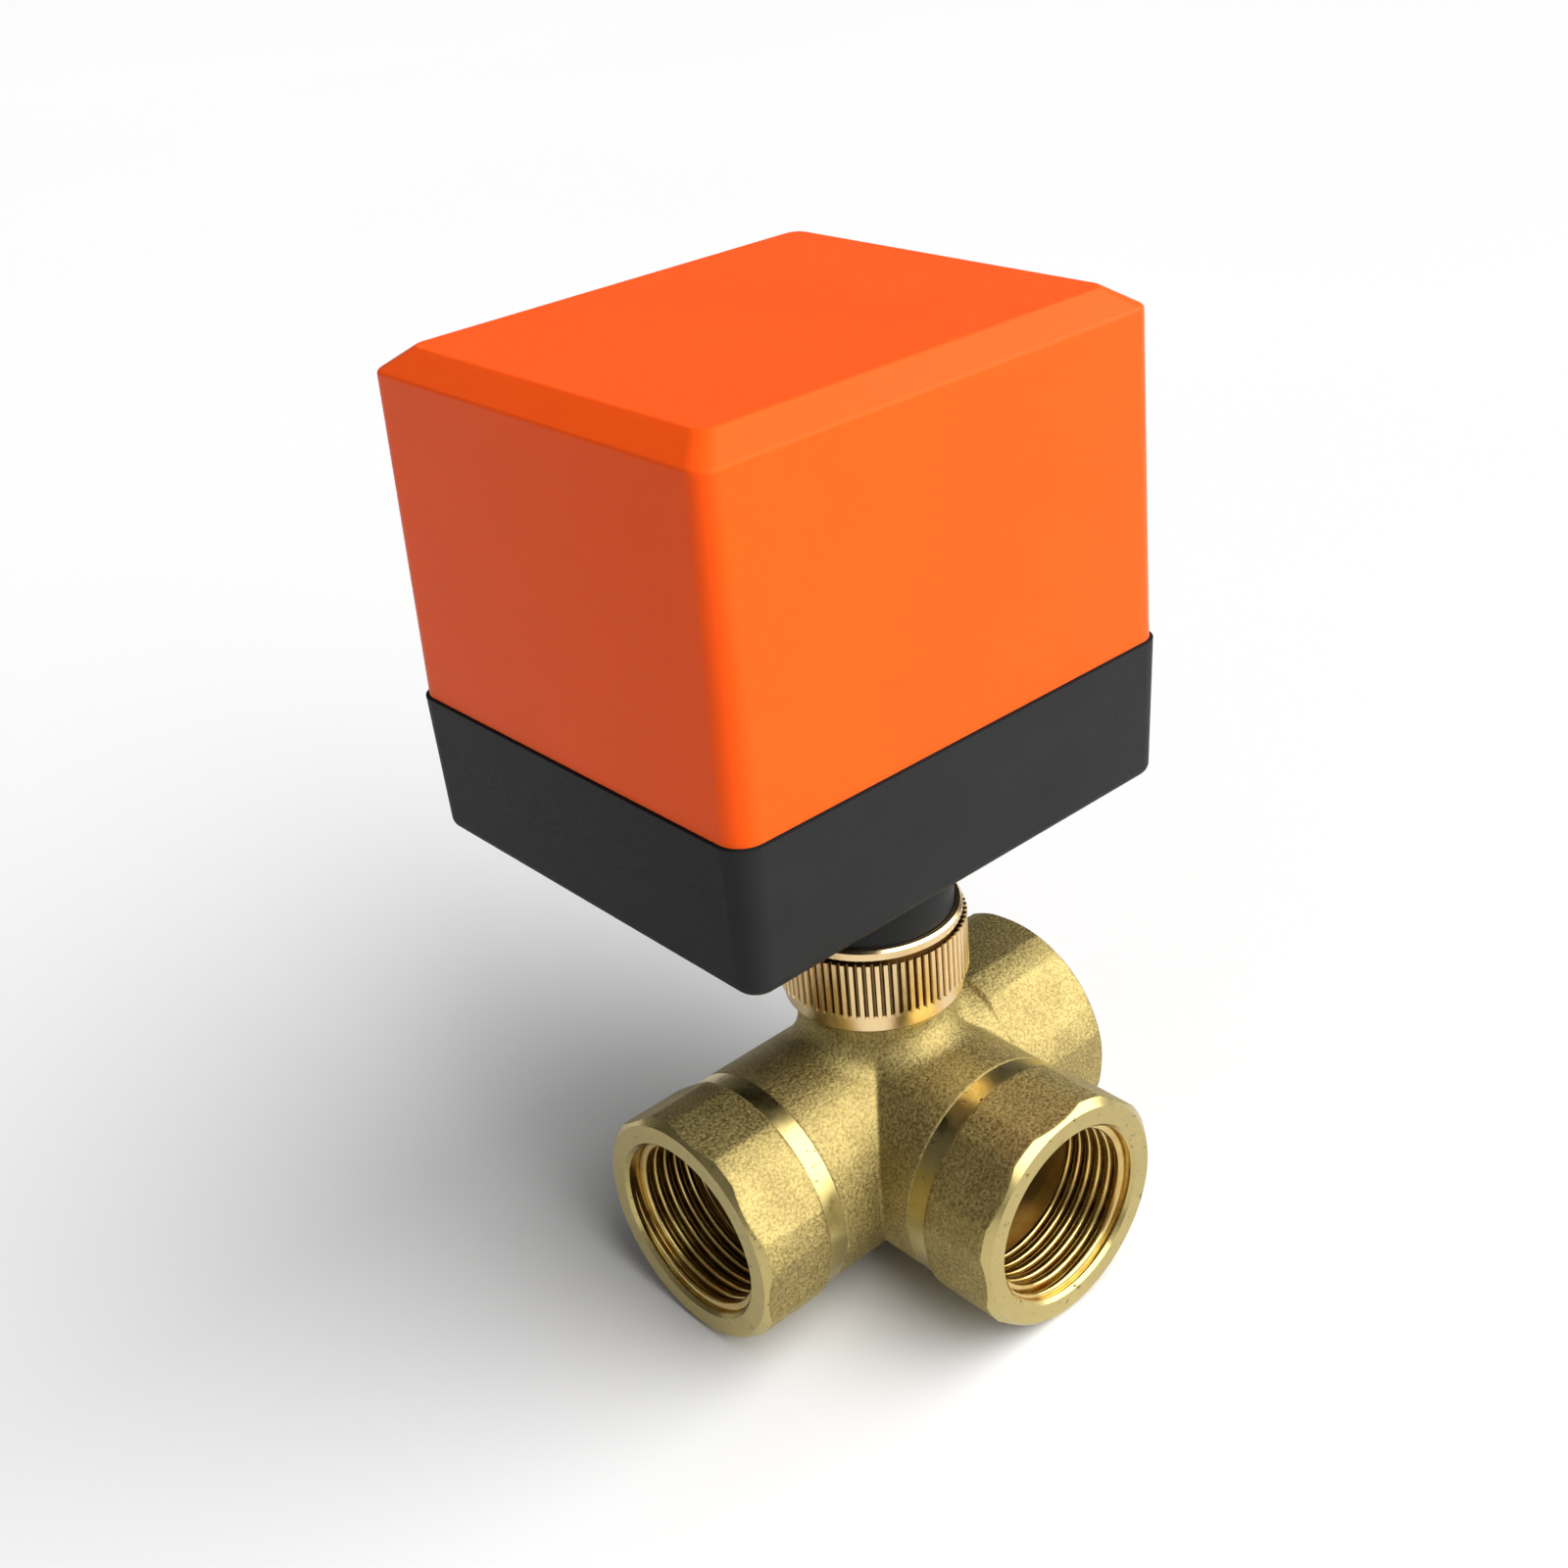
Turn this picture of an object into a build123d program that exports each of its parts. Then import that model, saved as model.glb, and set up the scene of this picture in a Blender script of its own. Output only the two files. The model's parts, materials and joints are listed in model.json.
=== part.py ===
from build123d import *
import os
from math import acos, atan2, cos, degrees, hypot, pi, radians, sin, tan

# Three-way motorized ball valve, size G 3/4, with a quick-fit actuator held by a union nut.
# Millimetres. +Z runs up the stem, port A opens to -X, port B to -Y and port C to +X.
# Pieces are modelled about the crossing of the port axes and saved with the origin
# at the centre of port A's mouth.

# Valve body and its three ports
PORT_A_REACH = 38.5
PORT_B_REACH = 37.0
PORT_C_REACH = 31.0
BODY_WALL = 2.8
FLATS_PROUD = 0.05
CORNERS_PROUD = 0.65
FACE_INSET = 0.4
FACE_BEVEL = 1.0
WRENCH_LENGTH = 12.0
PORT_C_WRENCH_LENGTH = 17.0
PORT_A_TURN = -8.5
PORT_B_TURN = 5.5
BAND_LENGTH = 3.0
PORT_THREAD_RADIUS = 13.22
PORT_THREAD_DEPTH = 14.0
MOUTH_CHAMFER = 0.5

# Ball, seats and the spigots that press the seats on the ball
BALL_RADIUS = 13.4
BALL_BORE_RADIUS = 6.5
BALL_ELBOW_ROUNDING = 0.1
CHAMBER_GAP = 1.0
SPIGOT_ENTRY_GAP = 0.6
SPIGOT_CLEARANCE = 0.05
SPIGOT_CHANNEL_RADIUS = 9.5
SPIGOT_FLOOR = 0.8
SEAT_RADIUS = 9.4
SEAT_BORE_GAP = 0.3
SEAT_FRONT_MARGIN = 0.4
SEAT_LAND_CLEARANCE = 0.06
SEAT_POCKET_CLEARANCE = 0.05
NOSE_WALL = 1.2
CORNER_MARGIN = 1.0

# Stem, from the tang in the ball up to the square drive
STEM_RADIUS = 5.0
STEM_CLEARANCE = 0.05
STEM_SHOULDER_RADIUS = 7.0
STEM_SHOULDER_THICKNESS = 1.6
STEM_SHOULDER_GAP = 0.2
THRUST_WASHER_THICKNESS = 0.7
TANG_WIDTH = 5.9
TANG_DEPTH = 2.8
TANG_CLEARANCE = 0.05
O_RING_SECTION = 0.8
O_RING_GROOVE_WIDTH = 1.8
O_RING_PITCH = 4.0
FIRST_O_RING_RISE = 3.0
STEM_SQUARE = 7.0
STEM_SQUARE_CLEARANCE = 0.1
STEM_SQUARE_HEIGHT = 6.5
STEM_ROUND_SHORTFALL = 1.2

# Threaded neck on the valve body
NECK_RISE = 14.2
NECK_BLEND = 4.0
NECK_THREAD_RADIUS = 11.92
NECK_THREAD_LENGTH = 8.4
NECK_UNDERCUT = 0.52

# Union nut with its straight knurl
NUT_THREAD_LENGTH = 9.0
NUT_RIM_RADIUS = 13.05
NUT_RIM_ROUNDING = 0.7
NUT_RIM_HEIGHT = 3.3
KNURL_LENGTH = 8.7
KNURL_RADIUS = 13.85
KNURL_DEPTH = 0.6
KNURL_TEETH = 72
KNURL_CREST_SHARE = 0.46
KNURL_ROOT_SHARE = 0.2
NUT_GROOVE_WIDTH = 0.6
NUT_GROOVE_RADIUS = 12.95
NUT_LIP_HEIGHT = 2.0
NUT_LIP_RADIUS = 13.3
NUT_LIP_CHAMFER = 0.35
NUT_LIP_THICKNESS = 1.8
NUT_MOUTH_RADIUS = 12.3
NUT_THREAD_CLEARANCE = 0.08

# Plastic neck of the actuator, its snap ring and the two keys that stop it turning
COLLAR_RADIUS = 12.15
SPOUT_RADIUS = 11.2
SPOUT_LIP_CLEARANCE = 0.25
SPOUT_BORE_RADIUS = 9.0
KEY_WIDTH = 4.0
KEY_DEPTH = 2.0
KEY_CLEARANCE = 0.1
SNAP_RING_THICKNESS = 1.2
SNAP_RING_SEAT_DEPTH = 0.9
SNAP_RING_PLAY = 0.1
SNAP_RING_GAP_DEGREES = 40.0

# Actuator housing
MOTOR_TO_RIGHT_WALL = 5.621
MOTOR_TO_BACK_WALL = 4.185
GEAR_TO_FRONT_WALL = 2.15
SWITCH_TO_LEFT_WALL = 5.75
HOUSING_CORNER = 3.8
DRAFT_DEGREES = 1.28
NUT_TO_BASE = 7.0
BASE_RIM_RISE = 0.85
BASE_PROUD = 0.4
BASE_WALL = 2.5
BASE_FLOOR = 2.5
BASE_EDGE_ROUNDING = 1.8
SEAM = 0.3
COVER_HEADROOM = 4.45
COVER_BEVEL_HEIGHT = 3.0
COVER_TOP_INSET = 4.25
COVER_TOP_CORNER = 2.2
COVER_WALL = 2.2
COVER_EDGE_ROUNDING = 0.7
GASKET_WIDTH = 1.2
GASKET_DEPTH = 1.0
COVER_POST_RADIUS = 3.5
COVER_POST_INSET = 5.5
COVER_SCREW_RADIUS = 1.5
COVER_SCREW_HEAD_RADIUS = 2.8
COVER_SCREW_HEAD_HEIGHT = 2.0
COVER_SCREW_RECESS = 3.0
COVER_SCREW_GRIP = 8.0
SCREW_HOLE_CLEARANCE = 0.2

# Cable inlet in the back wall
GROMMET_X = 10.0
GROMMET_RISE = 8.5
GROMMET_RADIUS = 6.0
GROMMET_FLANGE = 1.6
GROMMET_FLANGE_THICKNESS = 1.5
GROMMET_TAIL = 6.0
GROMMET_TAIL_RADIUS = 5.0
CABLE_BORE_RADIUS = 3.5

# Gear train between the base floor and the gear plate
GEAR_MODULE = 0.75
PRESSURE_ANGLE = radians(25.0)
ADDENDUM = 0.8
DEDENDUM = 1.0
BACKLASH = 0.1
FLANK_STEPS = 2
OUTPUT_TEETH = 28
SECOND_GEAR_TEETH = 26
FIRST_GEAR_TEETH = 30
PINION_TEETH = 12
SECOND_GEAR_DIRECTION = radians(110.0)
FIRST_GEAR_DIRECTION = radians(63.0)
MOTOR_DIRECTION = radians(5.0)
OUTPUT_GEAR_RISE = 2.5
OUTPUT_GEAR_WIDTH = 5.0
GEAR_WIDTH = 4.0
GEAR_GAP = 1.0
AXLE_RADIUS = 1.5
AXLE_CLEARANCE = 0.05
AXLE_BOSS_RADIUS = 3.4
AXLE_SINK = 1.5
HUB_RADIUS = 2.1
END_PLAY = 0.3

# Output shaft and its bush
SHAFT_BIG_RADIUS = 7.0
SHAFT_GEAR_RADIUS = 5.0
SHAFT_PLATE_RADIUS = 4.0
SHAFT_CAM_RADIUS = 3.5
FLAT_SHARE = 0.82
SHAFT_LIFT = 0.5
SHAFT_END_STUB = 1.0
SOCKET_HEADROOM = 0.8
BUSH_CLEARANCE = 0.05
BUSH_FLANGE_RADIUS = 11.5
BUSH_FLANGE_THICKNESS = 1.0
BUSH_FOOT_RISE = 0.8

# Gear plate and its posts
PLATE_THICKNESS = 1.5
PLATE_MARGIN = 2.4
POST_RADIUS = 3.2
POST_INSET_X = 14.5
POST_INSET_Y = 6.5
SMALL_SCREW_RADIUS = 1.25
SMALL_HEAD_RADIUS = 2.4
SMALL_HEAD_HEIGHT = 1.6
SMALL_SCREW_LENGTH = 7.0
POST_CUTOUT_MARGIN = 1.0

# Synchronous motor
MOTOR_RADIUS = 20.5
MOTOR_HEIGHT = 20.0
MOTOR_WALL = 1.2
MOTOR_PLATE_THICKNESS = 1.3
MOTOR_EAR_RADIUS = 4.0
MOTOR_EAR_PROUD = 3.5
MOTOR_EAR_DIRECTION = radians(-45.0)
PINION_HOLE_RADIUS = 6.2
ROTOR_RADIUS = 8.0
COIL_INNER_RADIUS = 9.0
COIL_GAP = 0.4
ROTOR_END_GAP = 1.2
MOTOR_BOSS_RADIUS = 4.0
MOTOR_BOSS_HEIGHT = 2.0

# Two limit switches, their levers and the cams that work them
SWITCH_LENGTH = 20.0
SWITCH_DEPTH = 10.0
SWITCH_WIDTH = 6.4
SWITCH_FACE_X = -12.0
SWITCH_NEAR_Y = -5.0
BRACKET_THICKNESS = 2.0
SPACER_THICKNESS = 1.1
SWITCH_SCREW_INSET = 5.2
SWITCH_SCREW_FROM_FACE = 7.0
SWITCH_TAG_SHARES = (0.2, 0.5, 0.8)
SWITCH_TAG_REACH = 4.0
SWITCH_TAG_WIDTH = 2.8
SWITCH_TAG_THICKNESS = 0.6
PIVOT_STANDOFF = 1.2
PIVOT_INSET = 2.0
PIVOT_PIN_RADIUS = 0.5
PIVOT_CLEARANCE = 0.05
LEVER_EYE_RADIUS = 0.95
LEVER_THICKNESS = 0.4
LEVER_WIDTH = 4.0
LEVER_ARM = 12.4
LEVER_NOSE_RADIUS = 1.3
LEVER_NOSE_OFFSET = 0.7
LEVER_SWING = radians(6.0)
OUTPUT_TURN = radians(90.0)
CAM_THICKNESS = 4.0
CAM_GAP = 0.3
CAM_STEP = radians(7.5)
CAM_DWELL = radians(15.0)
BUTTON_RADIUS = 0.7
BUTTON_CLEARANCE = 0.05
BUTTON_FROM_PIVOT = 4.0
BUTTON_LENGTH = 3.0
BUTTON_TRAVEL = 0.34

# Circuit board and what stands on it
BOARD_CLEARANCE = 3.2
BOARD_THICKNESS = 1.6
PILLAR_FLATS = 5.0
LEFT_PILLAR_INSET = 2.95
REAR_PILLAR_INSET = 8.05
LEFT_PILLAR_PITCH = 18.5
RIGHT_PILLAR_INSET = 1.35
FRONT_PILLAR_INSET = 5.35
FRONT_PILLAR_PITCH = 21.0
TERMINAL_WAYS = 5
TERMINAL_PITCH = 5.0
TERMINAL_DEPTH = 8.0
TERMINAL_HEIGHT = 10.0
TERMINAL_WALL = 0.9
TERMINAL_SILL = 1.2
TERMINAL_MOUTH_HEIGHT = 3.4
TERMINAL_MOUTH_DEPTH = 4.0
TERMINAL_SCREW_RADIUS = 1.7
TERMINAL_SCREW_DEPTH = 3.0
CAPACITOR_SIZE = (18.0, 9.0, 14.0)
CAPACITOR_INSET = (35.95, 12.35)
CAPACITOR_ROUNDING = 1.0
RELAY_SIZE = (19.0, 15.5, 15.0)
RELAY_INSET = (7.95, 18.35)
RELAY_CHAMFER = 0.6

# How far a tool reaches past the face it cuts, and how near two heights count as one
CUT_MARGIN = 1.0
TOLERANCE = 0.01

# Values worked out from the sizes above
A_BODY_END = PORT_A_REACH - WRENCH_LENGTH - BAND_LENGTH
B_BODY_END = PORT_B_REACH - WRENCH_LENGTH - BAND_LENGTH
CHAMBER_RADIUS = BALL_RADIUS + CHAMBER_GAP
SPIGOT_RADIUS = BALL_RADIUS + SPIGOT_ENTRY_GAP
SPIGOT_END = SPIGOT_RADIUS + CORNER_MARGIN
BODY_RADIUS = SPIGOT_RADIUS + BODY_WALL
NECK_TOP = BODY_RADIUS + NECK_RISE
NECK_RADIUS = NECK_THREAD_RADIUS - NECK_UNDERCUT
NECK_THREAD_START = NECK_TOP - NECK_THREAD_LENGTH
SEAT_BORE_RADIUS = BALL_BORE_RADIUS + SEAT_BORE_GAP
SEAT_BACK = BALL_RADIUS
SEAT_FRONT = SEAT_RADIUS + SEAT_FRONT_MARGIN
NOSE_RADIUS = SEAT_RADIUS + NOSE_WALL
NOSE_END = NOSE_RADIUS + CORNER_MARGIN
SHOULDER_BASE = BALL_RADIUS + STEM_SHOULDER_GAP
WASHER_BASE = SHOULDER_BASE + STEM_SHOULDER_THICKNESS
STEM_SEAT = WASHER_BASE + THRUST_WASHER_THICKNESS
STEM_TOP = NECK_TOP + STEM_SQUARE_HEIGHT
O_RING_LEVELS = [STEM_SEAT + FIRST_O_RING_RISE + i * O_RING_PITCH for i in range(2)]
O_RING_RING_RADIUS = STEM_RADIUS - O_RING_SECTION
NUT_BASE = NECK_TOP - NUT_THREAD_LENGTH
KNURL_BASE = NUT_BASE + NUT_RIM_HEIGHT
KNURL_TOP = KNURL_BASE + KNURL_LENGTH
NUT_LIP_TOP = KNURL_TOP + NUT_LIP_HEIGHT
NUT_LIP_UNDERSIDE = NUT_LIP_TOP - NUT_LIP_THICKNESS
NUT_BORE_RADIUS = NECK_THREAD_RADIUS + NUT_THREAD_CLEARANCE
NUT_LIP_BORE_RADIUS = SPOUT_RADIUS + SPOUT_LIP_CLEARANCE
SNAP_RING_TOP = NUT_LIP_UNDERSIDE - SNAP_RING_PLAY
SNAP_RING_BASE = SNAP_RING_TOP - SNAP_RING_THICKNESS
SNAP_RING_INNER = SPOUT_RADIUS - SNAP_RING_SEAT_DEPTH
BASE_BOTTOM = NUT_LIP_TOP + NUT_TO_BASE
FLOOR_TOP = BASE_BOTTOM + BASE_FLOOR
GROMMET_Z = FLOOR_TOP + GROMMET_RISE
OUTPUT_GEAR_BASE = FLOOR_TOP + OUTPUT_GEAR_RISE
SECOND_LEVEL = OUTPUT_GEAR_BASE + OUTPUT_GEAR_WIDTH + GEAR_GAP
FIRST_LEVEL = SECOND_LEVEL + GEAR_WIDTH + GEAR_GAP
PLATE_BOTTOM = FIRST_LEVEL + GEAR_WIDTH + GEAR_GAP
PLATE_TOP = PLATE_BOTTOM + PLATE_THICKNESS
MOTOR_BOTTOM = PLATE_TOP + MOTOR_PLATE_THICKNESS
MOTOR_TOP = MOTOR_BOTTOM + MOTOR_HEIGHT
MOTOR_EAR_REACH = MOTOR_RADIUS + MOTOR_EAR_PROUD
BASE_TOP = PLATE_BOTTOM + BASE_RIM_RISE
COVER_BOTTOM = BASE_TOP + SEAM
BOARD_BASE = MOTOR_TOP + MOTOR_BOSS_HEIGHT + BOARD_CLEARANCE
BOARD_TOP = BOARD_BASE + BOARD_THICKNESS
TALLEST_ON_BOARD = max(CAPACITOR_SIZE[2], RELAY_SIZE[2], TERMINAL_HEIGHT)
COVER_TOP = BOARD_TOP + TALLEST_ON_BOARD + COVER_HEADROOM + COVER_WALL
COVER_SHOULDER = COVER_TOP - COVER_BEVEL_HEIGHT
SWITCH_LEVELS = [
    PLATE_TOP + BRACKET_THICKNESS,
    PLATE_TOP + BRACKET_THICKNESS + SWITCH_WIDTH + SPACER_THICKNESS,
]
CAM_LEVELS = [base + SWITCH_WIDTH / 2 for base in SWITCH_LEVELS]
SHAFT_TOP = CAM_LEVELS[1] + CAM_THICKNESS / 2 + SHAFT_END_STUB
PIVOT = (SWITCH_FACE_X + PIVOT_STANDOFF, SWITCH_NEAR_Y + SWITCH_LENGTH - PIVOT_INSET)


# Small shapes used throughout

def polar(radius, angle, centre=(0.0, 0.0)):
    """Point at an angle round a centre."""
    return (centre[0] + radius * cos(angle), centre[1] + radius * sin(angle))


def pitch_radius(teeth):
    """Pitch circle radius of a gear."""
    return GEAR_MODULE * teeth / 2


def step_centre(start, direction, teeth, pinion_teeth):
    """Centre of the gear that meshes with one at start, in a direction."""
    return polar(pitch_radius(teeth) + pitch_radius(pinion_teeth), direction, start)


# Gear centres as seen from the stem, and the housing drawn round what it holds
OUTPUT_CENTRE = (0.0, 0.0)
SECOND_CENTRE = step_centre(OUTPUT_CENTRE, SECOND_GEAR_DIRECTION, OUTPUT_TEETH, PINION_TEETH)
FIRST_CENTRE = step_centre(SECOND_CENTRE, FIRST_GEAR_DIRECTION, SECOND_GEAR_TEETH, PINION_TEETH)
MOTOR_CENTRE = step_centre(FIRST_CENTRE, MOTOR_DIRECTION, FIRST_GEAR_TEETH, PINION_TEETH)
OUTPUT_TIP_RADIUS = pitch_radius(OUTPUT_TEETH) + ADDENDUM * GEAR_MODULE
HOUSING_RIGHT = MOTOR_CENTRE[0] + MOTOR_RADIUS + MOTOR_TO_RIGHT_WALL + COVER_WALL
HOUSING_BACK = MOTOR_CENTRE[1] + MOTOR_RADIUS + MOTOR_TO_BACK_WALL + COVER_WALL
HOUSING_FRONT = -OUTPUT_TIP_RADIUS - GEAR_TO_FRONT_WALL - BASE_WALL + BASE_PROUD
HOUSING_LEFT = SWITCH_FACE_X - SWITCH_DEPTH - SWITCH_TAG_REACH - SWITCH_TO_LEFT_WALL - COVER_WALL
HOUSING_X = (HOUSING_LEFT + HOUSING_RIGHT) / 2
HOUSING_Y = (HOUSING_FRONT + HOUSING_BACK) / 2
HOUSING_LENGTH = HOUSING_RIGHT - HOUSING_LEFT
HOUSING_WIDTH = HOUSING_BACK - HOUSING_FRONT
BASE_LENGTH = HOUSING_LENGTH + 2 * BASE_PROUD
BASE_WIDTH = HOUSING_WIDTH + 2 * BASE_PROUD
DRAFT_SLOPE = tan(radians(DRAFT_DEGREES))
CORNER_POSTS = [
    (sx * (HOUSING_LENGTH / 2 - COVER_POST_INSET), sy * (HOUSING_WIDTH / 2 - COVER_POST_INSET))
    for sx in (-1, 1)
    for sy in (-1, 1)
]


def turned(*corners):
    """Solid turned about Z from (radius, height) corners."""
    outline = Polyline(*[(radius, 0, height) for radius, height in corners], close=True)
    return revolve(make_face(outline), Axis.Z)


def rod(radius, low, high, at=(0.0, 0.0)):
    """Upright cylinder between two heights."""
    return Pos(at[0], at[1], (low + high) / 2) * Cylinder(radius, high - low)


def tube(outer, inner, low, high, at=(0.0, 0.0)):
    """Upright sleeve between two heights."""
    return rod(outer, low, high, at) - rod(inner, low, high, at)


def block(x_range, y_range, z_range):
    """Box between two corners."""
    low = (x_range[0], y_range[0], z_range[0])
    high = (x_range[1], y_range[1], z_range[1])
    middle = [(a + b) / 2 for a, b in zip(low, high)]
    return Pos(*middle) * Box(*[b - a for a, b in zip(low, high)])


def prism(corners, low, high):
    """Upright prism on a closed outline of (x, y) corners."""
    outline = make_face(Polyline(*corners, close=True))
    return Pos(0, 0, low) * extrude(outline, high - low)


def join(shapes):
    """All shapes of a list fused into one."""
    whole = shapes[0]
    for shape in shapes[1:]:
        whole = whole + shape
    return whole


def pan_screw(shank_radius, head_radius, head_height, length, at=(0.0, 0.0), top=0.0):
    """Screw hanging down from the underside of its head at the height top."""
    shank = rod(shank_radius, top - length, top, at)
    head = rod(head_radius, top, top + head_height, at)
    return shank + head


# Ports run along their own Z: these turn that axis to where the port points
TO_PORT_A = Plane(origin=(0, 0, 0), x_dir=(0, 1, 0), z_dir=(-1, 0, 0)).location
TO_PORT_B = Plane(origin=(0, 0, 0), x_dir=(1, 0, 0), z_dir=(0, -1, 0)).location
TO_PORT_C = Plane(origin=(0, 0, 0), x_dir=(0, 1, 0), z_dir=(1, 0, 0)).location


# Valve

def wrench_end(inner, outer, turn=0.0):
    """Octagon for a wrench with turned corners, at the angle where its thread came tight."""
    corner_radius = BODY_RADIUS + CORNERS_PROUD
    octagon = RegularPolygon(BODY_RADIUS + FLATS_PROUD, 8, major_radius=False, rotation=22.5 + turn)
    blank = Pos(0, 0, inner) * extrude(octagon, outer - inner)
    envelope = turned(
        (0, inner),
        (BODY_RADIUS, inner),
        (corner_radius, inner + CORNERS_PROUD),
        (corner_radius, outer - FACE_BEVEL),
        (BODY_RADIUS - FACE_INSET, outer),
        (0, outer),
    )
    return blank & envelope


def thread_bore(reach):
    """Space cut for a port's thread, with the chamfered mouth."""
    floor = reach - PORT_THREAD_DEPTH
    mouth_radius = PORT_THREAD_RADIUS + MOUTH_CHAMFER
    return turned(
        (0, floor),
        (PORT_THREAD_RADIUS, floor),
        (PORT_THREAD_RADIUS, reach - MOUTH_CHAMFER),
        (mouth_radius, reach),
        (0, reach),
    )


def with_neck(barrel):
    """Barrel with the plain neck standing on it, blended in as on a forging."""
    neck = rod(NECK_RADIUS, 0, NECK_TOP)
    joined = barrel + neck
    return fillet(new_edges(barrel, neck, combined=joined), NECK_BLEND)


def make_valve_body():
    """Forged body: run, branch, port C's end and the threaded neck, bored for ball and stem."""
    wrench_start = PORT_C_REACH - PORT_C_WRENCH_LENGTH
    run = with_neck(TO_PORT_C * rod(BODY_RADIUS, -A_BODY_END, wrench_start + NECK_BLEND))
    branch = with_neck(TO_PORT_B * rod(BODY_RADIUS, -B_BODY_END, B_BODY_END))
    branch &= block((-BODY_RADIUS, BODY_RADIUS), (-B_BODY_END, 0), (-BODY_RADIUS, NECK_TOP))
    port_c = TO_PORT_C * wrench_end(wrench_start, PORT_C_REACH)
    thread = turned(
        (0, NECK_THREAD_START - NECK_UNDERCUT),
        (NECK_RADIUS, NECK_THREAD_START - NECK_UNDERCUT),
        (NECK_THREAD_RADIUS, NECK_THREAD_START),
        (NECK_THREAD_RADIUS, NECK_TOP - MOUTH_CHAMFER),
        (NECK_THREAD_RADIUS - MOUTH_CHAMFER, NECK_TOP),
        (0, NECK_TOP),
    )
    body = run + branch + port_c + thread
    body -= TO_PORT_A * rod(SPIGOT_RADIUS, 0, A_BODY_END)
    body -= TO_PORT_B * rod(SPIGOT_RADIUS, 0, B_BODY_END)
    body -= Sphere(CHAMBER_RADIUS)
    body -= TO_PORT_C * rod(SEAT_RADIUS + SEAT_POCKET_CLEARANCE, 0, SEAT_BACK)
    body -= TO_PORT_C * rod(SEAT_BORE_RADIUS, 0, PORT_C_REACH - PORT_THREAD_DEPTH)
    body -= TO_PORT_C * thread_bore(PORT_C_REACH)
    body -= rod(STEM_SHOULDER_RADIUS + STEM_CLEARANCE, 0, STEM_SEAT)
    body -= rod(STEM_RADIUS + STEM_CLEARANCE, 0, NECK_TOP)
    body -= key_blocks(KEY_CLEARANCE)
    return body


def key_blocks(clearance):
    """The two keys across the foot of the actuator's spout, or their slots with a clearance."""
    low = NECK_TOP - KEY_DEPTH - clearance
    ring = tube(SPOUT_RADIUS + clearance, SPOUT_BORE_RADIUS - clearance, low, NECK_TOP)
    half = KEY_WIDTH / 2 + clearance
    reach = SPOUT_RADIUS + CUT_MARGIN
    return ring & block((-reach, reach), (-half, half), (low, NECK_TOP))


def make_port_adaptor(reach, body_end, turn):
    """Screwed-in port: wrench end, turned band, spigot and the nose that holds the seat."""
    thread_floor = reach - PORT_THREAD_DEPTH
    outside = wrench_end(reach - WRENCH_LENGTH, reach, turn)
    outside += rod(BODY_RADIUS, body_end, reach - WRENCH_LENGTH)
    outside += rod(SPIGOT_RADIUS - SPIGOT_CLEARANCE, SPIGOT_END, body_end)
    outside += rod(NOSE_RADIUS, NOSE_END, SPIGOT_END)
    outside -= thread_bore(reach)
    outside -= rod(SPIGOT_CHANNEL_RADIUS, SPIGOT_END + SPIGOT_FLOOR, thread_floor)
    outside -= rod(SEAT_BORE_RADIUS, NOSE_END, thread_floor)
    outside -= rod(SEAT_RADIUS + SEAT_POCKET_CLEARANCE, NOSE_END, SEAT_BACK)
    return outside


def make_seat():
    """Sealing ring with a spherical land for the ball."""
    ring = tube(SEAT_RADIUS, SEAT_BORE_RADIUS, SEAT_FRONT, SEAT_BACK)
    return ring - Sphere(BALL_RADIUS + SEAT_LAND_CLEARANCE)


def make_ball():
    """Ball with two drillings that meet in an elbow, and the slot for the stem's tang."""
    ball = Sphere(BALL_RADIUS)
    ball -= TO_PORT_A * rod(BALL_BORE_RADIUS, 0, BALL_RADIUS)
    ball -= TO_PORT_B * rod(BALL_BORE_RADIUS, 0, BALL_RADIUS)
    ball -= Sphere(BALL_BORE_RADIUS + BALL_ELBOW_ROUNDING)
    half = TANG_WIDTH / 2 + TANG_CLEARANCE
    slot_floor = BALL_RADIUS - TANG_DEPTH
    ball -= block((-BALL_RADIUS, BALL_RADIUS), (-half, half), (slot_floor, BALL_RADIUS))
    return ball


def make_stem():
    """Blow-out proof stem: tang, shoulder, two ring grooves and the square for the drive."""
    tang_bottom = BALL_RADIUS - TANG_DEPTH + TANG_CLEARANCE
    round_top = NECK_TOP - STEM_ROUND_SHORTFALL
    tang = rod(STEM_SHOULDER_RADIUS, tang_bottom, SHOULDER_BASE)
    tang &= block(
        (-STEM_SHOULDER_RADIUS, STEM_SHOULDER_RADIUS),
        (-TANG_WIDTH / 2, TANG_WIDTH / 2),
        (tang_bottom, SHOULDER_BASE),
    )
    stem = tang + rod(STEM_SHOULDER_RADIUS, SHOULDER_BASE, WASHER_BASE)
    stem += rod(STEM_RADIUS, WASHER_BASE, round_top)
    groove_radius = O_RING_RING_RADIUS - O_RING_SECTION
    for level in O_RING_LEVELS:
        half = O_RING_GROOVE_WIDTH / 2
        stem -= tube(STEM_RADIUS + CUT_MARGIN, groove_radius, level - half, level + half)
    square = Pos(0, 0, round_top) * extrude(Rectangle(STEM_SQUARE, STEM_SQUARE), STEM_TOP - round_top)
    square &= rod(STEM_RADIUS, round_top, STEM_TOP)
    return stem + square


def make_thrust_washer():
    """Low-friction washer between the stem's shoulder and the body."""
    return tube(STEM_SHOULDER_RADIUS, STEM_RADIUS + STEM_CLEARANCE, WASHER_BASE, STEM_SEAT)


def make_o_ring(level):
    """Stem seal lying in its groove."""
    return Pos(0, 0, level) * Torus(O_RING_RING_RADIUS, O_RING_SECTION)


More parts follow.
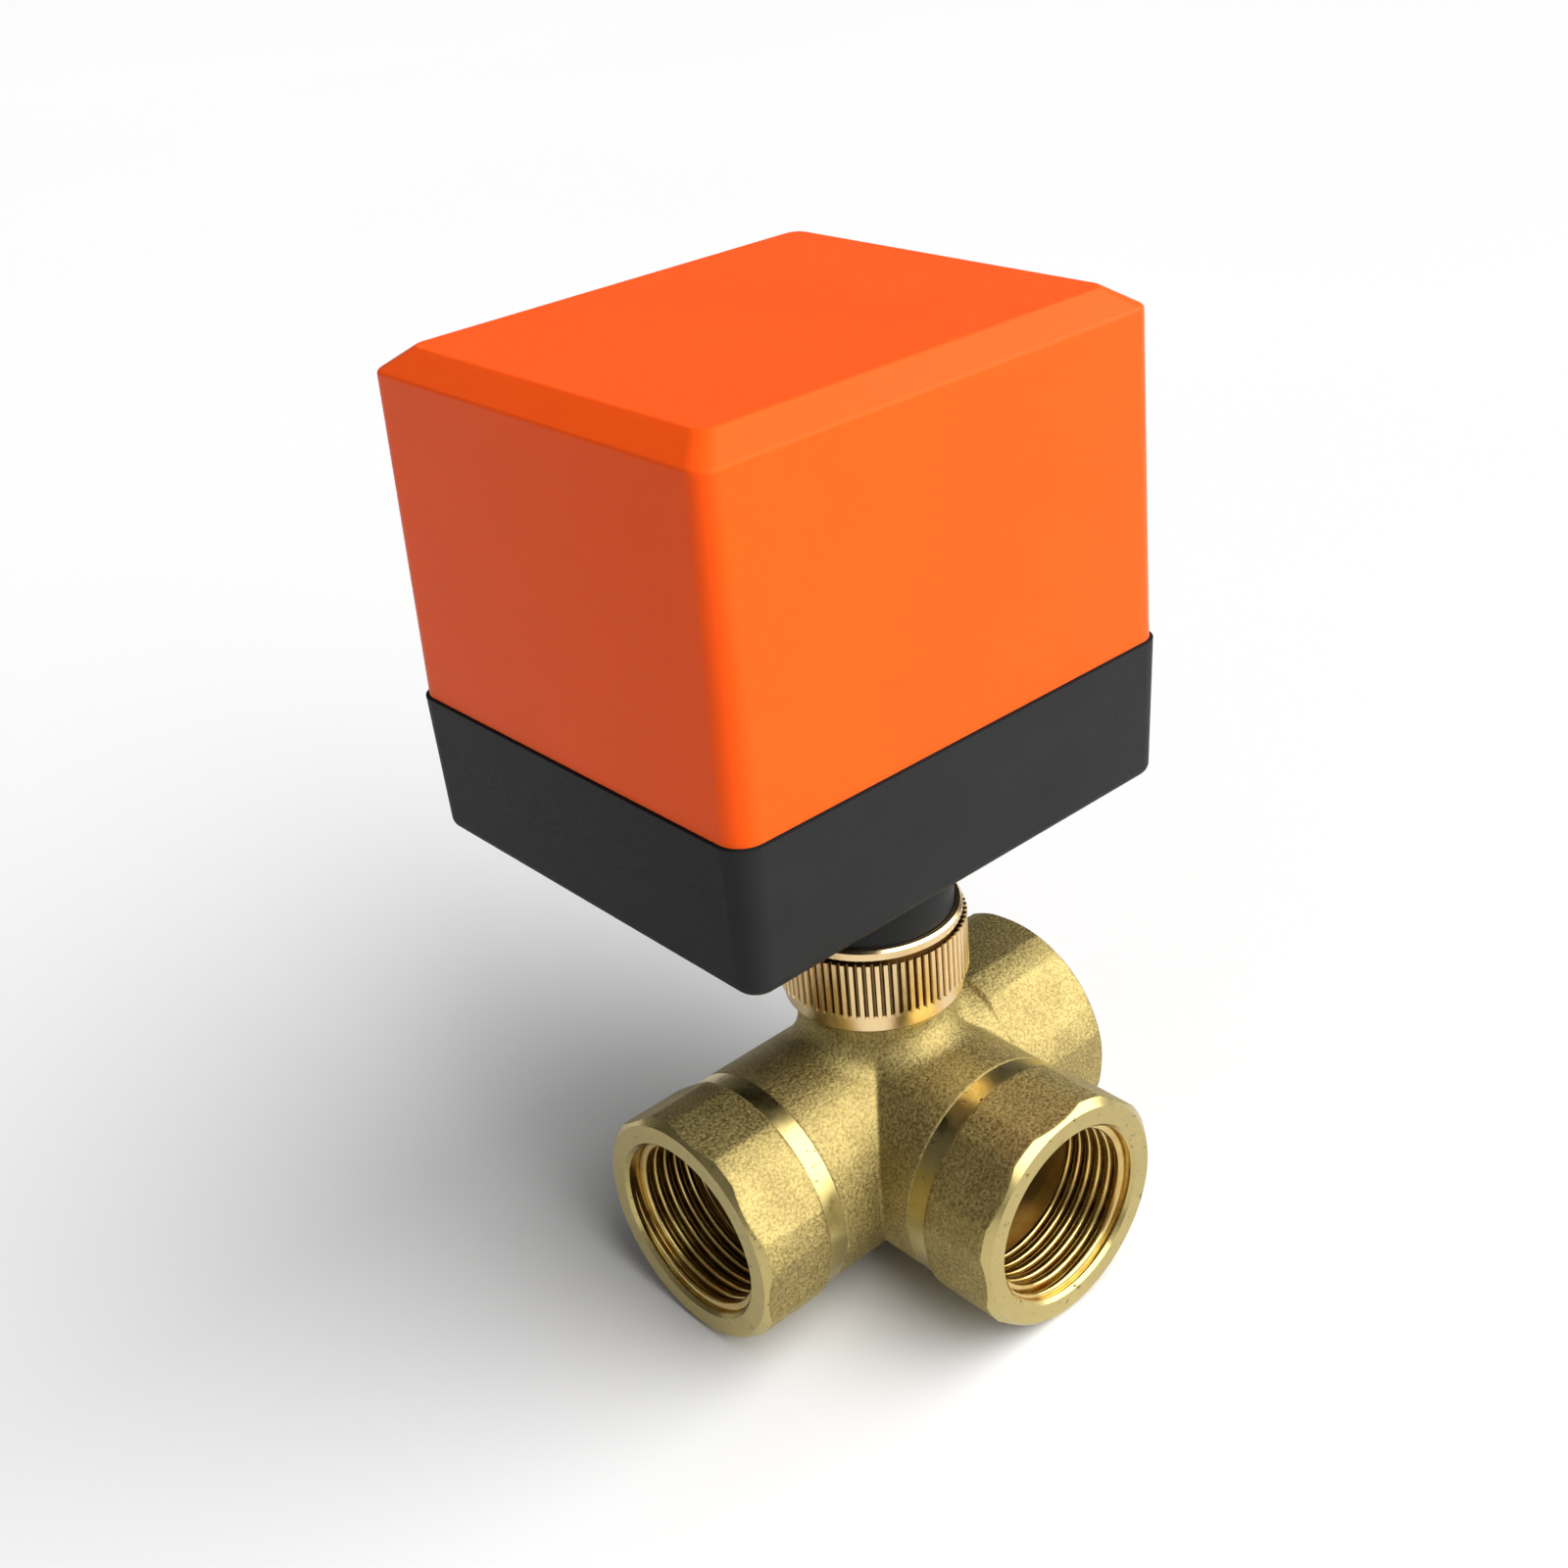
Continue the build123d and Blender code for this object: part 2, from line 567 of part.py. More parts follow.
def knurl_outline():
    """Corners of the nut's straight knurl, four to a tooth."""
    corners = []
    pitch = 2 * pi / KNURL_TEETH
    root_radius = KNURL_RADIUS - KNURL_DEPTH
    for tooth in range(KNURL_TEETH):
        middle = tooth * pitch
        crest = pitch * KNURL_CREST_SHARE / 2
        foot = pitch * (1 - KNURL_ROOT_SHARE) / 2
        corners.append(polar(root_radius, middle - foot))
        corners.append(polar(KNURL_RADIUS, middle - crest))
        corners.append(polar(KNURL_RADIUS, middle + crest))
        corners.append(polar(root_radius, middle + foot))
    return corners


def make_union_nut():
    """Brass union nut: knurled drum, groove and an inward lip that holds the snap ring down."""
    groove_top = KNURL_TOP + NUT_GROOVE_WIDTH
    rim_inset = NUT_RIM_RADIUS - NUT_RIM_ROUNDING
    core = turned(
        (0, NUT_BASE),
        (rim_inset, NUT_BASE),
        (NUT_RIM_RADIUS, NUT_BASE + NUT_RIM_ROUNDING),
        (NUT_RIM_RADIUS, KNURL_TOP),
        (NUT_GROOVE_RADIUS, KNURL_TOP),
        (NUT_GROOVE_RADIUS, groove_top),
        (NUT_LIP_RADIUS, groove_top),
        (NUT_LIP_RADIUS, NUT_LIP_TOP - NUT_LIP_CHAMFER),
        (NUT_LIP_RADIUS - NUT_LIP_CHAMFER, NUT_LIP_TOP),
        (0, NUT_LIP_TOP),
    )
    nut = core + prism(knurl_outline(), KNURL_BASE, KNURL_TOP)
    flare = NUT_MOUTH_RADIUS - NUT_LIP_BORE_RADIUS
    return nut - turned(
        (0, NUT_BASE),
        (NUT_BORE_RADIUS, NUT_BASE),
        (NUT_BORE_RADIUS, NUT_LIP_UNDERSIDE),
        (NUT_LIP_BORE_RADIUS, NUT_LIP_UNDERSIDE),
        (NUT_LIP_BORE_RADIUS, NUT_LIP_TOP - flare),
        (NUT_MOUTH_RADIUS, NUT_LIP_TOP),
        (0, NUT_LIP_TOP),
    )


def make_snap_ring():
    """Open ring in the spout's groove, which carries the nut."""
    ring = tube(NECK_THREAD_RADIUS, SNAP_RING_INNER, SNAP_RING_BASE, SNAP_RING_TOP)
    reach = 2 * NECK_THREAD_RADIUS
    half = radians(SNAP_RING_GAP_DEGREES) / 2
    wedge = [(0, 0), polar(reach, -half), polar(reach, half)]
    return ring - prism(wedge, SNAP_RING_BASE, SNAP_RING_TOP)


# Housing

def tapered_box(length, width, corner, low, high):
    """Rounded box over the housing's centre that narrows upwards by the draft."""
    outline = RectangleRounded(length, width, corner)
    return Pos(HOUSING_X, HOUSING_Y, low) * extrude(outline, high - low, taper=DRAFT_DEGREES)


def hanging_box(length, width, corner, low, high):
    """Rounded box over the housing's centre that narrows downwards by the draft."""
    outline = RectangleRounded(length, width, corner)
    upside_down = Rot(180, 0, 0) * extrude(outline, high - low, taper=DRAFT_DEGREES)
    return Pos(HOUSING_X, HOUSING_Y, high) * upside_down


def housing_point(point):
    """Place given from the housing's centre, as seen from the stem."""
    return (HOUSING_X + point[0], HOUSING_Y + point[1])


def post_points():
    """Places of the four posts under the gear plate."""
    inner_x = HOUSING_LENGTH / 2 - POST_INSET_X
    inner_y = HOUSING_WIDTH / 2 - POST_INSET_Y
    return [housing_point((sx * inner_x, sy * inner_y)) for sx in (-1, 1) for sy in (-1, 1)]


def gasket_frame(width, low, high):
    """Rounded rectangular frame along the middle of the base's rim."""
    middle_length = BASE_LENGTH - BASE_WALL
    middle_width = BASE_WIDTH - BASE_WALL
    corner = HOUSING_CORNER - BASE_WALL / 2
    outer = RectangleRounded(middle_length + width, middle_width + width, corner + width / 2)
    inner = RectangleRounded(middle_length - width, middle_width - width, corner - width / 2)
    return Pos(HOUSING_X, HOUSING_Y, low) * extrude(outer - inner, high - low)


def make_spout():
    """Neck under the base: collar, cone into the nut's mouth, ring groove and keys."""
    cone_bottom = NUT_LIP_TOP - (COLLAR_RADIUS - SPOUT_RADIUS)
    spout = turned(
        (0, NECK_TOP),
        (SPOUT_RADIUS, NECK_TOP),
        (SPOUT_RADIUS, SNAP_RING_BASE),
        (SNAP_RING_INNER, SNAP_RING_BASE),
        (SNAP_RING_INNER, SNAP_RING_TOP),
        (SPOUT_RADIUS, SNAP_RING_TOP),
        (SPOUT_RADIUS, cone_bottom),
        (COLLAR_RADIUS, NUT_LIP_TOP),
        (COLLAR_RADIUS, FLOOR_TOP),
        (0, FLOOR_TOP),
    )
    return spout + key_blocks(0.0)


def make_base_housing():
    """Black base: drafted tray with spout, screw bosses, plate posts and axle bosses."""
    shell = hanging_box(BASE_LENGTH, BASE_WIDTH, HOUSING_CORNER, BASE_BOTTOM, BASE_TOP)
    bottom_edges = shell.edges().group_by(Axis.Z)[0]
    shell = fillet(bottom_edges, BASE_EDGE_ROUNDING)
    inner_corner = HOUSING_CORNER - BASE_WALL
    tray = hanging_box(
        BASE_LENGTH - 2 * BASE_WALL, BASE_WIDTH - 2 * BASE_WALL, inner_corner, FLOOR_TOP, BASE_TOP
    )
    bosses = [rod(COVER_POST_RADIUS, FLOOR_TOP, BASE_TOP, housing_point(p)) for p in CORNER_POSTS]
    bosses += [rod(POST_RADIUS, FLOOR_TOP, PLATE_BOTTOM, p) for p in post_points()]
    second_boss_top = OUTPUT_GEAR_BASE - END_PLAY
    first_boss_top = SECOND_LEVEL - END_PLAY
    bosses.append(rod(AXLE_BOSS_RADIUS, FLOOR_TOP, second_boss_top, SECOND_CENTRE))
    bosses.append(rod(AXLE_BOSS_RADIUS, FLOOR_TOP, first_boss_top, FIRST_CENTRE))
    base = join([shell - tray, make_spout()] + bosses)
    base -= rod(SPOUT_BORE_RADIUS, NECK_TOP - KEY_DEPTH, FLOOR_TOP)
    base -= gasket_frame(GASKET_WIDTH, BASE_TOP - GASKET_DEPTH, BASE_TOP)
    hole_radius = COVER_SCREW_RADIUS + SCREW_HOLE_CLEARANCE
    recess_radius = COVER_SCREW_HEAD_RADIUS + SCREW_HOLE_CLEARANCE
    for point in CORNER_POSTS:
        place = housing_point(point)
        base -= rod(hole_radius, BASE_BOTTOM, BASE_TOP, place)
        base -= rod(recess_radius, BASE_BOTTOM, BASE_BOTTOM + COVER_SCREW_RECESS, place)
    for place in post_points():
        base -= rod(SMALL_SCREW_RADIUS, PLATE_TOP - SMALL_SCREW_LENGTH, PLATE_BOTTOM, place)
    base -= rod(AXLE_RADIUS, FLOOR_TOP - AXLE_SINK, second_boss_top, SECOND_CENTRE)
    base -= rod(AXLE_RADIUS, FLOOR_TOP - AXLE_SINK, first_boss_top, FIRST_CENTRE)
    return base - grommet_place() * rod(GROMMET_RADIUS, -2 * BASE_WALL, BASE_WALL)


def is_level(edge, height):
    """Whether an edge lies flat at a height."""
    box = edge.bounding_box()
    return abs(box.min.Z - height) < TOLERANCE and abs(box.max.Z - height) < TOLERANCE


def make_cover():
    """Orange hood: drafted walls, bevelled top and four screw posts in the corners."""
    hood = hood_shape(0.0)
    rims = [edge for edge in hood.edges() if is_level(edge, COVER_SHOULDER) or is_level(edge, COVER_TOP)]
    hood = fillet(rims, COVER_EDGE_ROUNDING)
    posts = [
        rod(COVER_POST_RADIUS, COVER_BOTTOM, COVER_SHOULDER, housing_point(p)) for p in CORNER_POSTS
    ]
    hollow = hood - hood_shape(COVER_WALL)
    cover = hollow + (join(posts) & hood_shape(COVER_WALL / 2))
    for point in CORNER_POSTS:
        place = housing_point(point)
        cover -= rod(COVER_SCREW_RADIUS, COVER_BOTTOM, COVER_BOTTOM + COVER_SCREW_GRIP, place)
    return cover


def hood_shape(inset):
    """Solid form of the hood, drawn in all round by the inset."""
    length = HOUSING_LENGTH - 2 * inset
    width = HOUSING_WIDTH - 2 * inset
    corner = HOUSING_CORNER - inset
    draw_in = (COVER_SHOULDER - COVER_BOTTOM) * DRAFT_SLOPE
    walls = tapered_box(length, width, corner, COVER_BOTTOM, COVER_SHOULDER)
    shoulder = Pos(HOUSING_X, HOUSING_Y, COVER_SHOULDER) * RectangleRounded(
        length - 2 * draw_in, width - 2 * draw_in, corner - draw_in
    )
    top_inset = draw_in + COVER_TOP_INSET
    top = Pos(HOUSING_X, HOUSING_Y, COVER_TOP - inset) * RectangleRounded(
        length - 2 * top_inset, width - 2 * top_inset, COVER_TOP_CORNER - inset / 2
    )
    return walls + loft([shoulder, top], ruled=True)


def make_cover_gasket():
    """Cord seal in the rim's groove, squeezed to the seam's width."""
    return gasket_frame(GASKET_WIDTH, BASE_TOP - GASKET_DEPTH, COVER_BOTTOM)


def make_cover_screws():
    """Four screws driven up through the base into the hood's posts."""
    head_base = BASE_BOTTOM + COVER_SCREW_RECESS
    length = COVER_BOTTOM + COVER_SCREW_GRIP - head_base
    screw = pan_screw(COVER_SCREW_RADIUS, COVER_SCREW_HEAD_RADIUS, COVER_SCREW_HEAD_HEIGHT, length)
    turned_over = Rot(180, 0, 0) * screw
    places = [housing_point(point) for point in CORNER_POSTS]
    return [Pos(x, y, head_base) * turned_over for x, y in places]


def grommet_place():
    """Axis of the cable inlet: outwards through the base's back wall."""
    mid_drop = (BASE_TOP - GROMMET_Z) * DRAFT_SLOPE
    wall_y = HOUSING_Y + BASE_WIDTH / 2 - mid_drop
    return Plane(origin=(GROMMET_X, wall_y, GROMMET_Z), x_dir=(-1, 0, 0), z_dir=(0, 1, 0)).location


def make_cable_grommet():
    """Rubber inlet in the base's back wall: outer flange, body and inner flange, bored for a cable."""
    flange_radius = GROMMET_RADIUS + GROMMET_FLANGE
    slope_room = flange_radius * DRAFT_SLOPE
    outer_top = slope_room + GROMMET_FLANGE_THICKNESS
    inner_end = -BASE_WALL - slope_room
    profile = turned(
        (CABLE_BORE_RADIUS, outer_top),
        (flange_radius, outer_top),
        (flange_radius, slope_room),
        (GROMMET_RADIUS, slope_room),
        (GROMMET_RADIUS, inner_end),
        (GROMMET_TAIL_RADIUS, inner_end - GROMMET_TAIL + GROMMET_FLANGE_THICKNESS),
        (CABLE_BORE_RADIUS, inner_end - GROMMET_TAIL + GROMMET_FLANGE_THICKNESS),
    )
    return grommet_place() * profile


# Gears

def meshed_phase(phase, direction, teeth, next_teeth):
    """Tooth angle of the next gear that puts its teeth in the spaces of this one."""
    offset = (phase - direction) * teeth / (2 * pi)
    return direction + pi + (0.5 - offset) * 2 * pi / next_teeth


SECOND_PHASE = meshed_phase(0.0, SECOND_GEAR_DIRECTION, OUTPUT_TEETH, PINION_TEETH)
FIRST_PHASE = meshed_phase(SECOND_PHASE, FIRST_GEAR_DIRECTION, SECOND_GEAR_TEETH, PINION_TEETH)
MOTOR_PHASE = meshed_phase(FIRST_PHASE, MOTOR_DIRECTION, FIRST_GEAR_TEETH, PINION_TEETH)


def involute(angle):
    """Involute function."""
    return tan(angle) - angle


def gear_outline(teeth, phase, centre):
    """Corners of a spur gear with involute flanks."""
    pitch = pitch_radius(teeth)
    base = pitch * cos(PRESSURE_ANGLE)
    root = pitch - DEDENDUM * GEAR_MODULE
    tip = pitch + ADDENDUM * GEAR_MODULE
    half_tooth = (pi * GEAR_MODULE / 2 - BACKLASH / 2) / (2 * pitch)
    start = max(base, root)
    flank = []
    for step in range(FLANK_STEPS + 1):
        radius = start + (tip - start) * step / FLANK_STEPS
        opening = involute(PRESSURE_ANGLE) - involute(acos(min(1.0, base / radius)))
        flank.append((radius, half_tooth + opening))
    if root < base:
        flank.insert(0, (root, flank[0][1]))
    corners = []
    for tooth in range(teeth):
        middle = phase + 2 * pi * tooth / teeth
        corners += [polar(radius, middle - turn, centre) for radius, turn in flank]
        corners += [polar(radius, middle + turn, centre) for radius, turn in reversed(flank)]
    return corners


def spur(teeth, phase, centre, low, high):
    """Toothed wheel between two heights."""
    return prism(gear_outline(teeth, phase, centre), low, high)


def flatted(radius, low, high, clearance=0.0):
    """Round bar with one flat, or its hole with a clearance."""
    bar = rod(radius + clearance, low, high)
    flat_x = radius * FLAT_SHARE + clearance
    return bar - block((flat_x, 2 * radius), (-2 * radius, 2 * radius), (low, high))


def make_output_shaft():
    """Stepped shaft with a square socket for the stem below and flats for the gear and cams."""
    big_top = OUTPUT_GEAR_BASE - END_PLAY
    shaft = rod(SHAFT_BIG_RADIUS, NECK_TOP + SHAFT_LIFT, big_top)
    shaft += flatted(SHAFT_GEAR_RADIUS, big_top, OUTPUT_GEAR_BASE + OUTPUT_GEAR_WIDTH)
    shaft += rod(SHAFT_PLATE_RADIUS, OUTPUT_GEAR_BASE + OUTPUT_GEAR_WIDTH, PLATE_TOP + END_PLAY)
    shaft += flatted(SHAFT_CAM_RADIUS, PLATE_TOP + END_PLAY, SHAFT_TOP)
    size = STEM_SQUARE + 2 * STEM_SQUARE_CLEARANCE
    half = size / 2
    socket_top = STEM_TOP + SOCKET_HEADROOM
    return shaft - block((-half, half), (-half, half), (NECK_TOP + SHAFT_LIFT, socket_top))


def make_neck_bush():
    """Flanged bush between the spout and the output shaft."""
    inner = SHAFT_BIG_RADIUS + BUSH_CLEARANCE
    sleeve = tube(SPOUT_BORE_RADIUS, inner, NECK_TOP + BUSH_FOOT_RISE, FLOOR_TOP)
    flange = tube(BUSH_FLANGE_RADIUS, inner, FLOOR_TOP, FLOOR_TOP + BUSH_FLANGE_THICKNESS)
    return sleeve + flange


def make_output_gear():
    """Largest wheel, keyed to the output shaft by the flat."""
    top = OUTPUT_GEAR_BASE + OUTPUT_GEAR_WIDTH
    wheel = spur(OUTPUT_TEETH, 0.0, OUTPUT_CENTRE, OUTPUT_GEAR_BASE, top)
    return wheel - flatted(SHAFT_GEAR_RADIUS, OUTPUT_GEAR_BASE, top)


def make_compound_gear(teeth, phase, centre, pinion_low, wheel_low):
    """Pinion and wheel moulded in one, turning on a fixed axle under the gear plate."""
    wheel_top = wheel_low + GEAR_WIDTH
    hub_top = PLATE_BOTTOM - END_PLAY
    gear = spur(PINION_TEETH, phase, centre, pinion_low, wheel_low)
    gear += spur(teeth, phase, centre, wheel_low, wheel_top)
    gear += rod(HUB_RADIUS, wheel_top, hub_top, centre)
    return gear - rod(AXLE_RADIUS + AXLE_CLEARANCE, pinion_low, hub_top, centre)


def make_gear_axles():
    """Two steel pins from the base's bosses to the gear plate."""
    low = FLOOR_TOP - AXLE_SINK
    return [rod(AXLE_RADIUS, low, PLATE_TOP, centre) for centre in (SECOND_CENTRE, FIRST_CENTRE)]


def make_gear_plate():
    """Steel plate over the gears, notched round the cover's posts."""
    half_x = BASE_LENGTH / 2 - BASE_WALL - PLATE_MARGIN
    half_y = BASE_WIDTH / 2 - BASE_WALL - PLATE_MARGIN
    low, high = PLATE_BOTTOM, PLATE_TOP
    plate = block(
        (HOUSING_X - half_x, HOUSING_X + half_x), (HOUSING_Y - half_y, HOUSING_Y + half_y), (low, high)
    )
    for point in CORNER_POSTS:
        plate -= rod(COVER_POST_RADIUS + POST_CUTOUT_MARGIN, low, high, housing_point(point))
    plate -= rod(SHAFT_PLATE_RADIUS + BUSH_CLEARANCE, low, high)
    for centre in (SECOND_CENTRE, FIRST_CENTRE):
        plate -= rod(AXLE_RADIUS, low, high, centre)
    plate -= rod(PINION_HOLE_RADIUS, low, high, MOTOR_CENTRE)
    for place in post_points() + motor_ears() + pillar_points() + switch_screw_points():
        plate -= rod(SMALL_SCREW_RADIUS, low, high, place)
    return plate


def make_plate_screws():
    """Screws that hold the gear plate on its posts."""
    return [
        pan_screw(
            SMALL_SCREW_RADIUS, SMALL_HEAD_RADIUS, SMALL_HEAD_HEIGHT, SMALL_SCREW_LENGTH, p, PLATE_TOP
        )
        for p in post_points()
    ]


# Motor

def motor_ears():
    """Centres of the motor's two fixing ears."""
    return [polar(MOTOR_EAR_REACH, MOTOR_EAR_DIRECTION + side * pi, MOTOR_CENTRE) for side in (0, 1)]


def make_motor_end_plate():
    """Flat end of the motor with an ear on each side."""
    ears = motor_ears()
    low, high = PLATE_TOP, MOTOR_BOTTOM
    plate = rod(MOTOR_RADIUS, low, high, MOTOR_CENTRE)
    for ear in ears:
        middle = ((ear[0] + MOTOR_CENTRE[0]) / 2, (ear[1] + MOTOR_CENTRE[1]) / 2)
        arm = Box(MOTOR_EAR_REACH, 2 * MOTOR_EAR_RADIUS, high - low)
        plate += Pos(middle[0], middle[1], (low + high) / 2) * Rot(0, 0, degrees(MOTOR_EAR_DIRECTION)) * arm
        plate += rod(MOTOR_EAR_RADIUS, low, high, ear)
    for ear in ears:
        plate -= rod(SMALL_SCREW_RADIUS, low, high, ear)
    return plate - rod(AXLE_RADIUS + BUSH_CLEARANCE, low, high, MOTOR_CENTRE)


def make_motor_can():
    """Drawn steel can with a bearing boss on its closed end."""
    can = tube(MOTOR_RADIUS, MOTOR_RADIUS - MOTOR_WALL, MOTOR_BOTTOM, MOTOR_TOP, MOTOR_CENTRE)
    can += rod(MOTOR_RADIUS, MOTOR_TOP - MOTOR_WALL, MOTOR_TOP, MOTOR_CENTRE)
    can += rod(MOTOR_BOSS_RADIUS, MOTOR_TOP, MOTOR_TOP + MOTOR_BOSS_HEIGHT, MOTOR_CENTRE)
    bore_low = MOTOR_TOP - MOTOR_WALL
    return can - rod(AXLE_RADIUS + BUSH_CLEARANCE, bore_low, MOTOR_TOP + MOTOR_BOSS_HEIGHT, MOTOR_CENTRE)


def make_motor_coil():
    """Ring-shaped winding inside the can."""
    outer = MOTOR_RADIUS - MOTOR_WALL - COIL_GAP
    return tube(outer, COIL_INNER_RADIUS, MOTOR_BOTTOM, MOTOR_TOP - MOTOR_WALL - COIL_GAP, MOTOR_CENTRE)


def make_motor_rotor():
    """Magnet drum on the motor's shaft."""
    low = MOTOR_BOTTOM + ROTOR_END_GAP
    high = MOTOR_TOP - MOTOR_WALL - ROTOR_END_GAP
    return tube(ROTOR_RADIUS, AXLE_RADIUS, low, high, MOTOR_CENTRE)


def make_motor_shaft():
    """Shaft from the pinion to the bearing boss."""
    return rod(AXLE_RADIUS, FIRST_LEVEL, MOTOR_TOP + MOTOR_BOSS_HEIGHT, MOTOR_CENTRE)


def make_motor_pinion():
    """Pinion pressed on the motor's shaft."""
    high = FIRST_LEVEL + GEAR_WIDTH
    wheel = spur(PINION_TEETH, MOTOR_PHASE, MOTOR_CENTRE, FIRST_LEVEL, high)
    return wheel - rod(AXLE_RADIUS, FIRST_LEVEL, high, MOTOR_CENTRE)


def make_motor_screws():
    """Two screws through the motor's ears."""
    length = MOTOR_PLATE_THICKNESS + PLATE_THICKNESS
    return [
        pan_screw(SMALL_SCREW_RADIUS, SMALL_HEAD_RADIUS, SMALL_HEAD_HEIGHT, length, ear, MOTOR_BOTTOM)
        for ear in motor_ears()
    ]


# Limit switches

def switch_screw_points():
    """Places of the two screws through both switches."""
    middle_x = SWITCH_FACE_X - SWITCH_SCREW_FROM_FACE
    far_y = SWITCH_NEAR_Y + SWITCH_LENGTH
    return [(middle_x, SWITCH_NEAR_Y + SWITCH_SCREW_INSET), (middle_x, far_y - SWITCH_SCREW_INSET)]


def switch_slab(low, high):
    """Plain slab under or over a switch, drilled for its screws."""
    far_y = SWITCH_NEAR_Y + SWITCH_LENGTH
    slab = block((SWITCH_FACE_X - SWITCH_DEPTH, SWITCH_FACE_X), (SWITCH_NEAR_Y, far_y), (low, high))
    for place in switch_screw_points():
        slab -= rod(SMALL_SCREW_RADIUS, low, high, place)
    return slab


def make_microswitch(base):
    """Switch case with two ears that carry the lever's pivot pin, and the button's hole."""
    case = switch_slab(base, base + SWITCH_WIDTH)
    middle = base + SWITCH_WIDTH / 2
    ear_gap = LEVER_WIDTH / 2 + END_PLAY
    ear_outer = SWITCH_WIDTH / 2
    ear_half = LEVER_EYE_RADIUS
    for low, high in ((middle - ear_outer, middle - ear_gap), (middle + ear_gap, middle + ear_outer)):
        case += block((SWITCH_FACE_X, PIVOT[0]), (PIVOT[1] - ear_half, PIVOT[1] + ear_half), (low, high))
        case += rod(ear_half, low, high, PIVOT)
    case += rod(PIVOT_PIN_RADIUS, middle - ear_gap, middle + ear_gap, PIVOT)
    back_x = SWITCH_FACE_X - SWITCH_DEPTH
    tag_half = SWITCH_TAG_WIDTH / 2
    tag_heights = (middle - SWITCH_TAG_THICKNESS / 2, middle + SWITCH_TAG_THICKNESS / 2)
    for share in SWITCH_TAG_SHARES:
        y = SWITCH_NEAR_Y + SWITCH_LENGTH * share
        case += block((back_x - SWITCH_TAG_REACH, back_x), (y - tag_half, y + tag_half), tag_heights)
    hole = rod(BUTTON_RADIUS + BUTTON_CLEARANCE, -BUTTON_LENGTH, CUT_MARGIN)
    return case - button_place(middle) * hole


def button_place(middle):
    """Axis of a switch's button: outwards through the switch's face."""
    origin = (SWITCH_FACE_X, PIVOT[1] - BUTTON_FROM_PIVOT, middle)
    return Plane(origin=origin, x_dir=(0, 1, 0), z_dir=(1, 0, 0)).location


def make_switch_button(base, out):
    """Button under the lever, pushed in or let out by the button's travel."""
    face = PIVOT_STANDOFF - LEVER_THICKNESS / 2 - BUTTON_CLEARANCE
    tip = face + out
    button = rod(BUTTON_RADIUS, tip - BUTTON_LENGTH, tip)
    return button_place(base + SWITCH_WIDTH / 2) * button


def make_switch_lever(base, swing):
    """Spring-steel lever: eye on the pivot, blade and rounded nose."""
    low = base + SWITCH_WIDTH / 2 - LEVER_WIDTH / 2
    high = low + LEVER_WIDTH
    half = LEVER_THICKNESS / 2
    lever = rod(LEVER_EYE_RADIUS, low, high)
    lever += block((-half, half), (-LEVER_ARM, 0), (low, high))
    lever += rod(LEVER_NOSE_RADIUS, low, high, (LEVER_NOSE_OFFSET, -LEVER_ARM))
    lever -= rod(PIVOT_PIN_RADIUS + PIVOT_CLEARANCE, low, high)
    return Pos(PIVOT[0], PIVOT[1], 0) * Rot(0, 0, degrees(swing)) * lever


def nose_place(swing):
    """Distance and angle of a lever's nose from the shaft's axis."""
    x = PIVOT[0] + LEVER_NOSE_OFFSET * cos(swing) + LEVER_ARM * sin(swing)
    y = PIVOT[1] + LEVER_NOSE_OFFSET * sin(swing) - LEVER_ARM * cos(swing)
    return hypot(x, y), atan2(y, x)


def make_cam(level, swing_at_rest, swing_at_end):
    """Disc whose edge keeps the same gap to the lever's nose over the whole turn."""
    steps = round(OUTPUT_TURN / CAM_STEP)
    edge = []
    for step in range(steps + 1):
        share = step / steps
        distance, angle = nose_place(swing_at_rest + (swing_at_end - swing_at_rest) * share)
        edge.append((distance - LEVER_NOSE_RADIUS - CAM_GAP, angle - share * OUTPUT_TURN))
    low_radius = min(edge[0][0], edge[-1][0])
    edge.insert(0, (edge[0][0], edge[0][1] + CAM_DWELL))
    edge.append((edge[-1][0], edge[-1][1] - CAM_DWELL))
    angle = edge[-1][1] - CAM_STEP
    last = edge[0][1] - 2 * pi + CAM_STEP / 2
    while angle > last:
        edge.append((low_radius, angle))
        angle -= CAM_STEP
    base = level - CAM_THICKNESS / 2
    disc = prism([polar(radius, turn) for radius, turn in edge], base, base + CAM_THICKNESS)
    return disc - flatted(SHAFT_CAM_RADIUS, base, base + CAM_THICKNESS)


def make_switch_screws():
    """Two long screws that clamp bracket, switches and spacer to the gear plate."""
    top = SWITCH_LEVELS[1] + SWITCH_WIDTH
    length = top - PLATE_BOTTOM
    return [
        pan_screw(SMALL_SCREW_RADIUS, SMALL_HEAD_RADIUS, SMALL_HEAD_HEIGHT, length, place, top)
        for place in switch_screw_points()
    ]


# Circuit board

def board_range():
    """Extent of the circuit board between the cover's posts."""
    half_x = HOUSING_LENGTH / 2 - COVER_POST_INSET - COVER_POST_RADIUS - POST_CUTOUT_MARGIN
    half_y = HOUSING_WIDTH / 2 - COVER_WALL - 2 * PLATE_MARGIN
    return (HOUSING_X - half_x, HOUSING_X + half_x), (HOUSING_Y - half_y, HOUSING_Y + half_y)


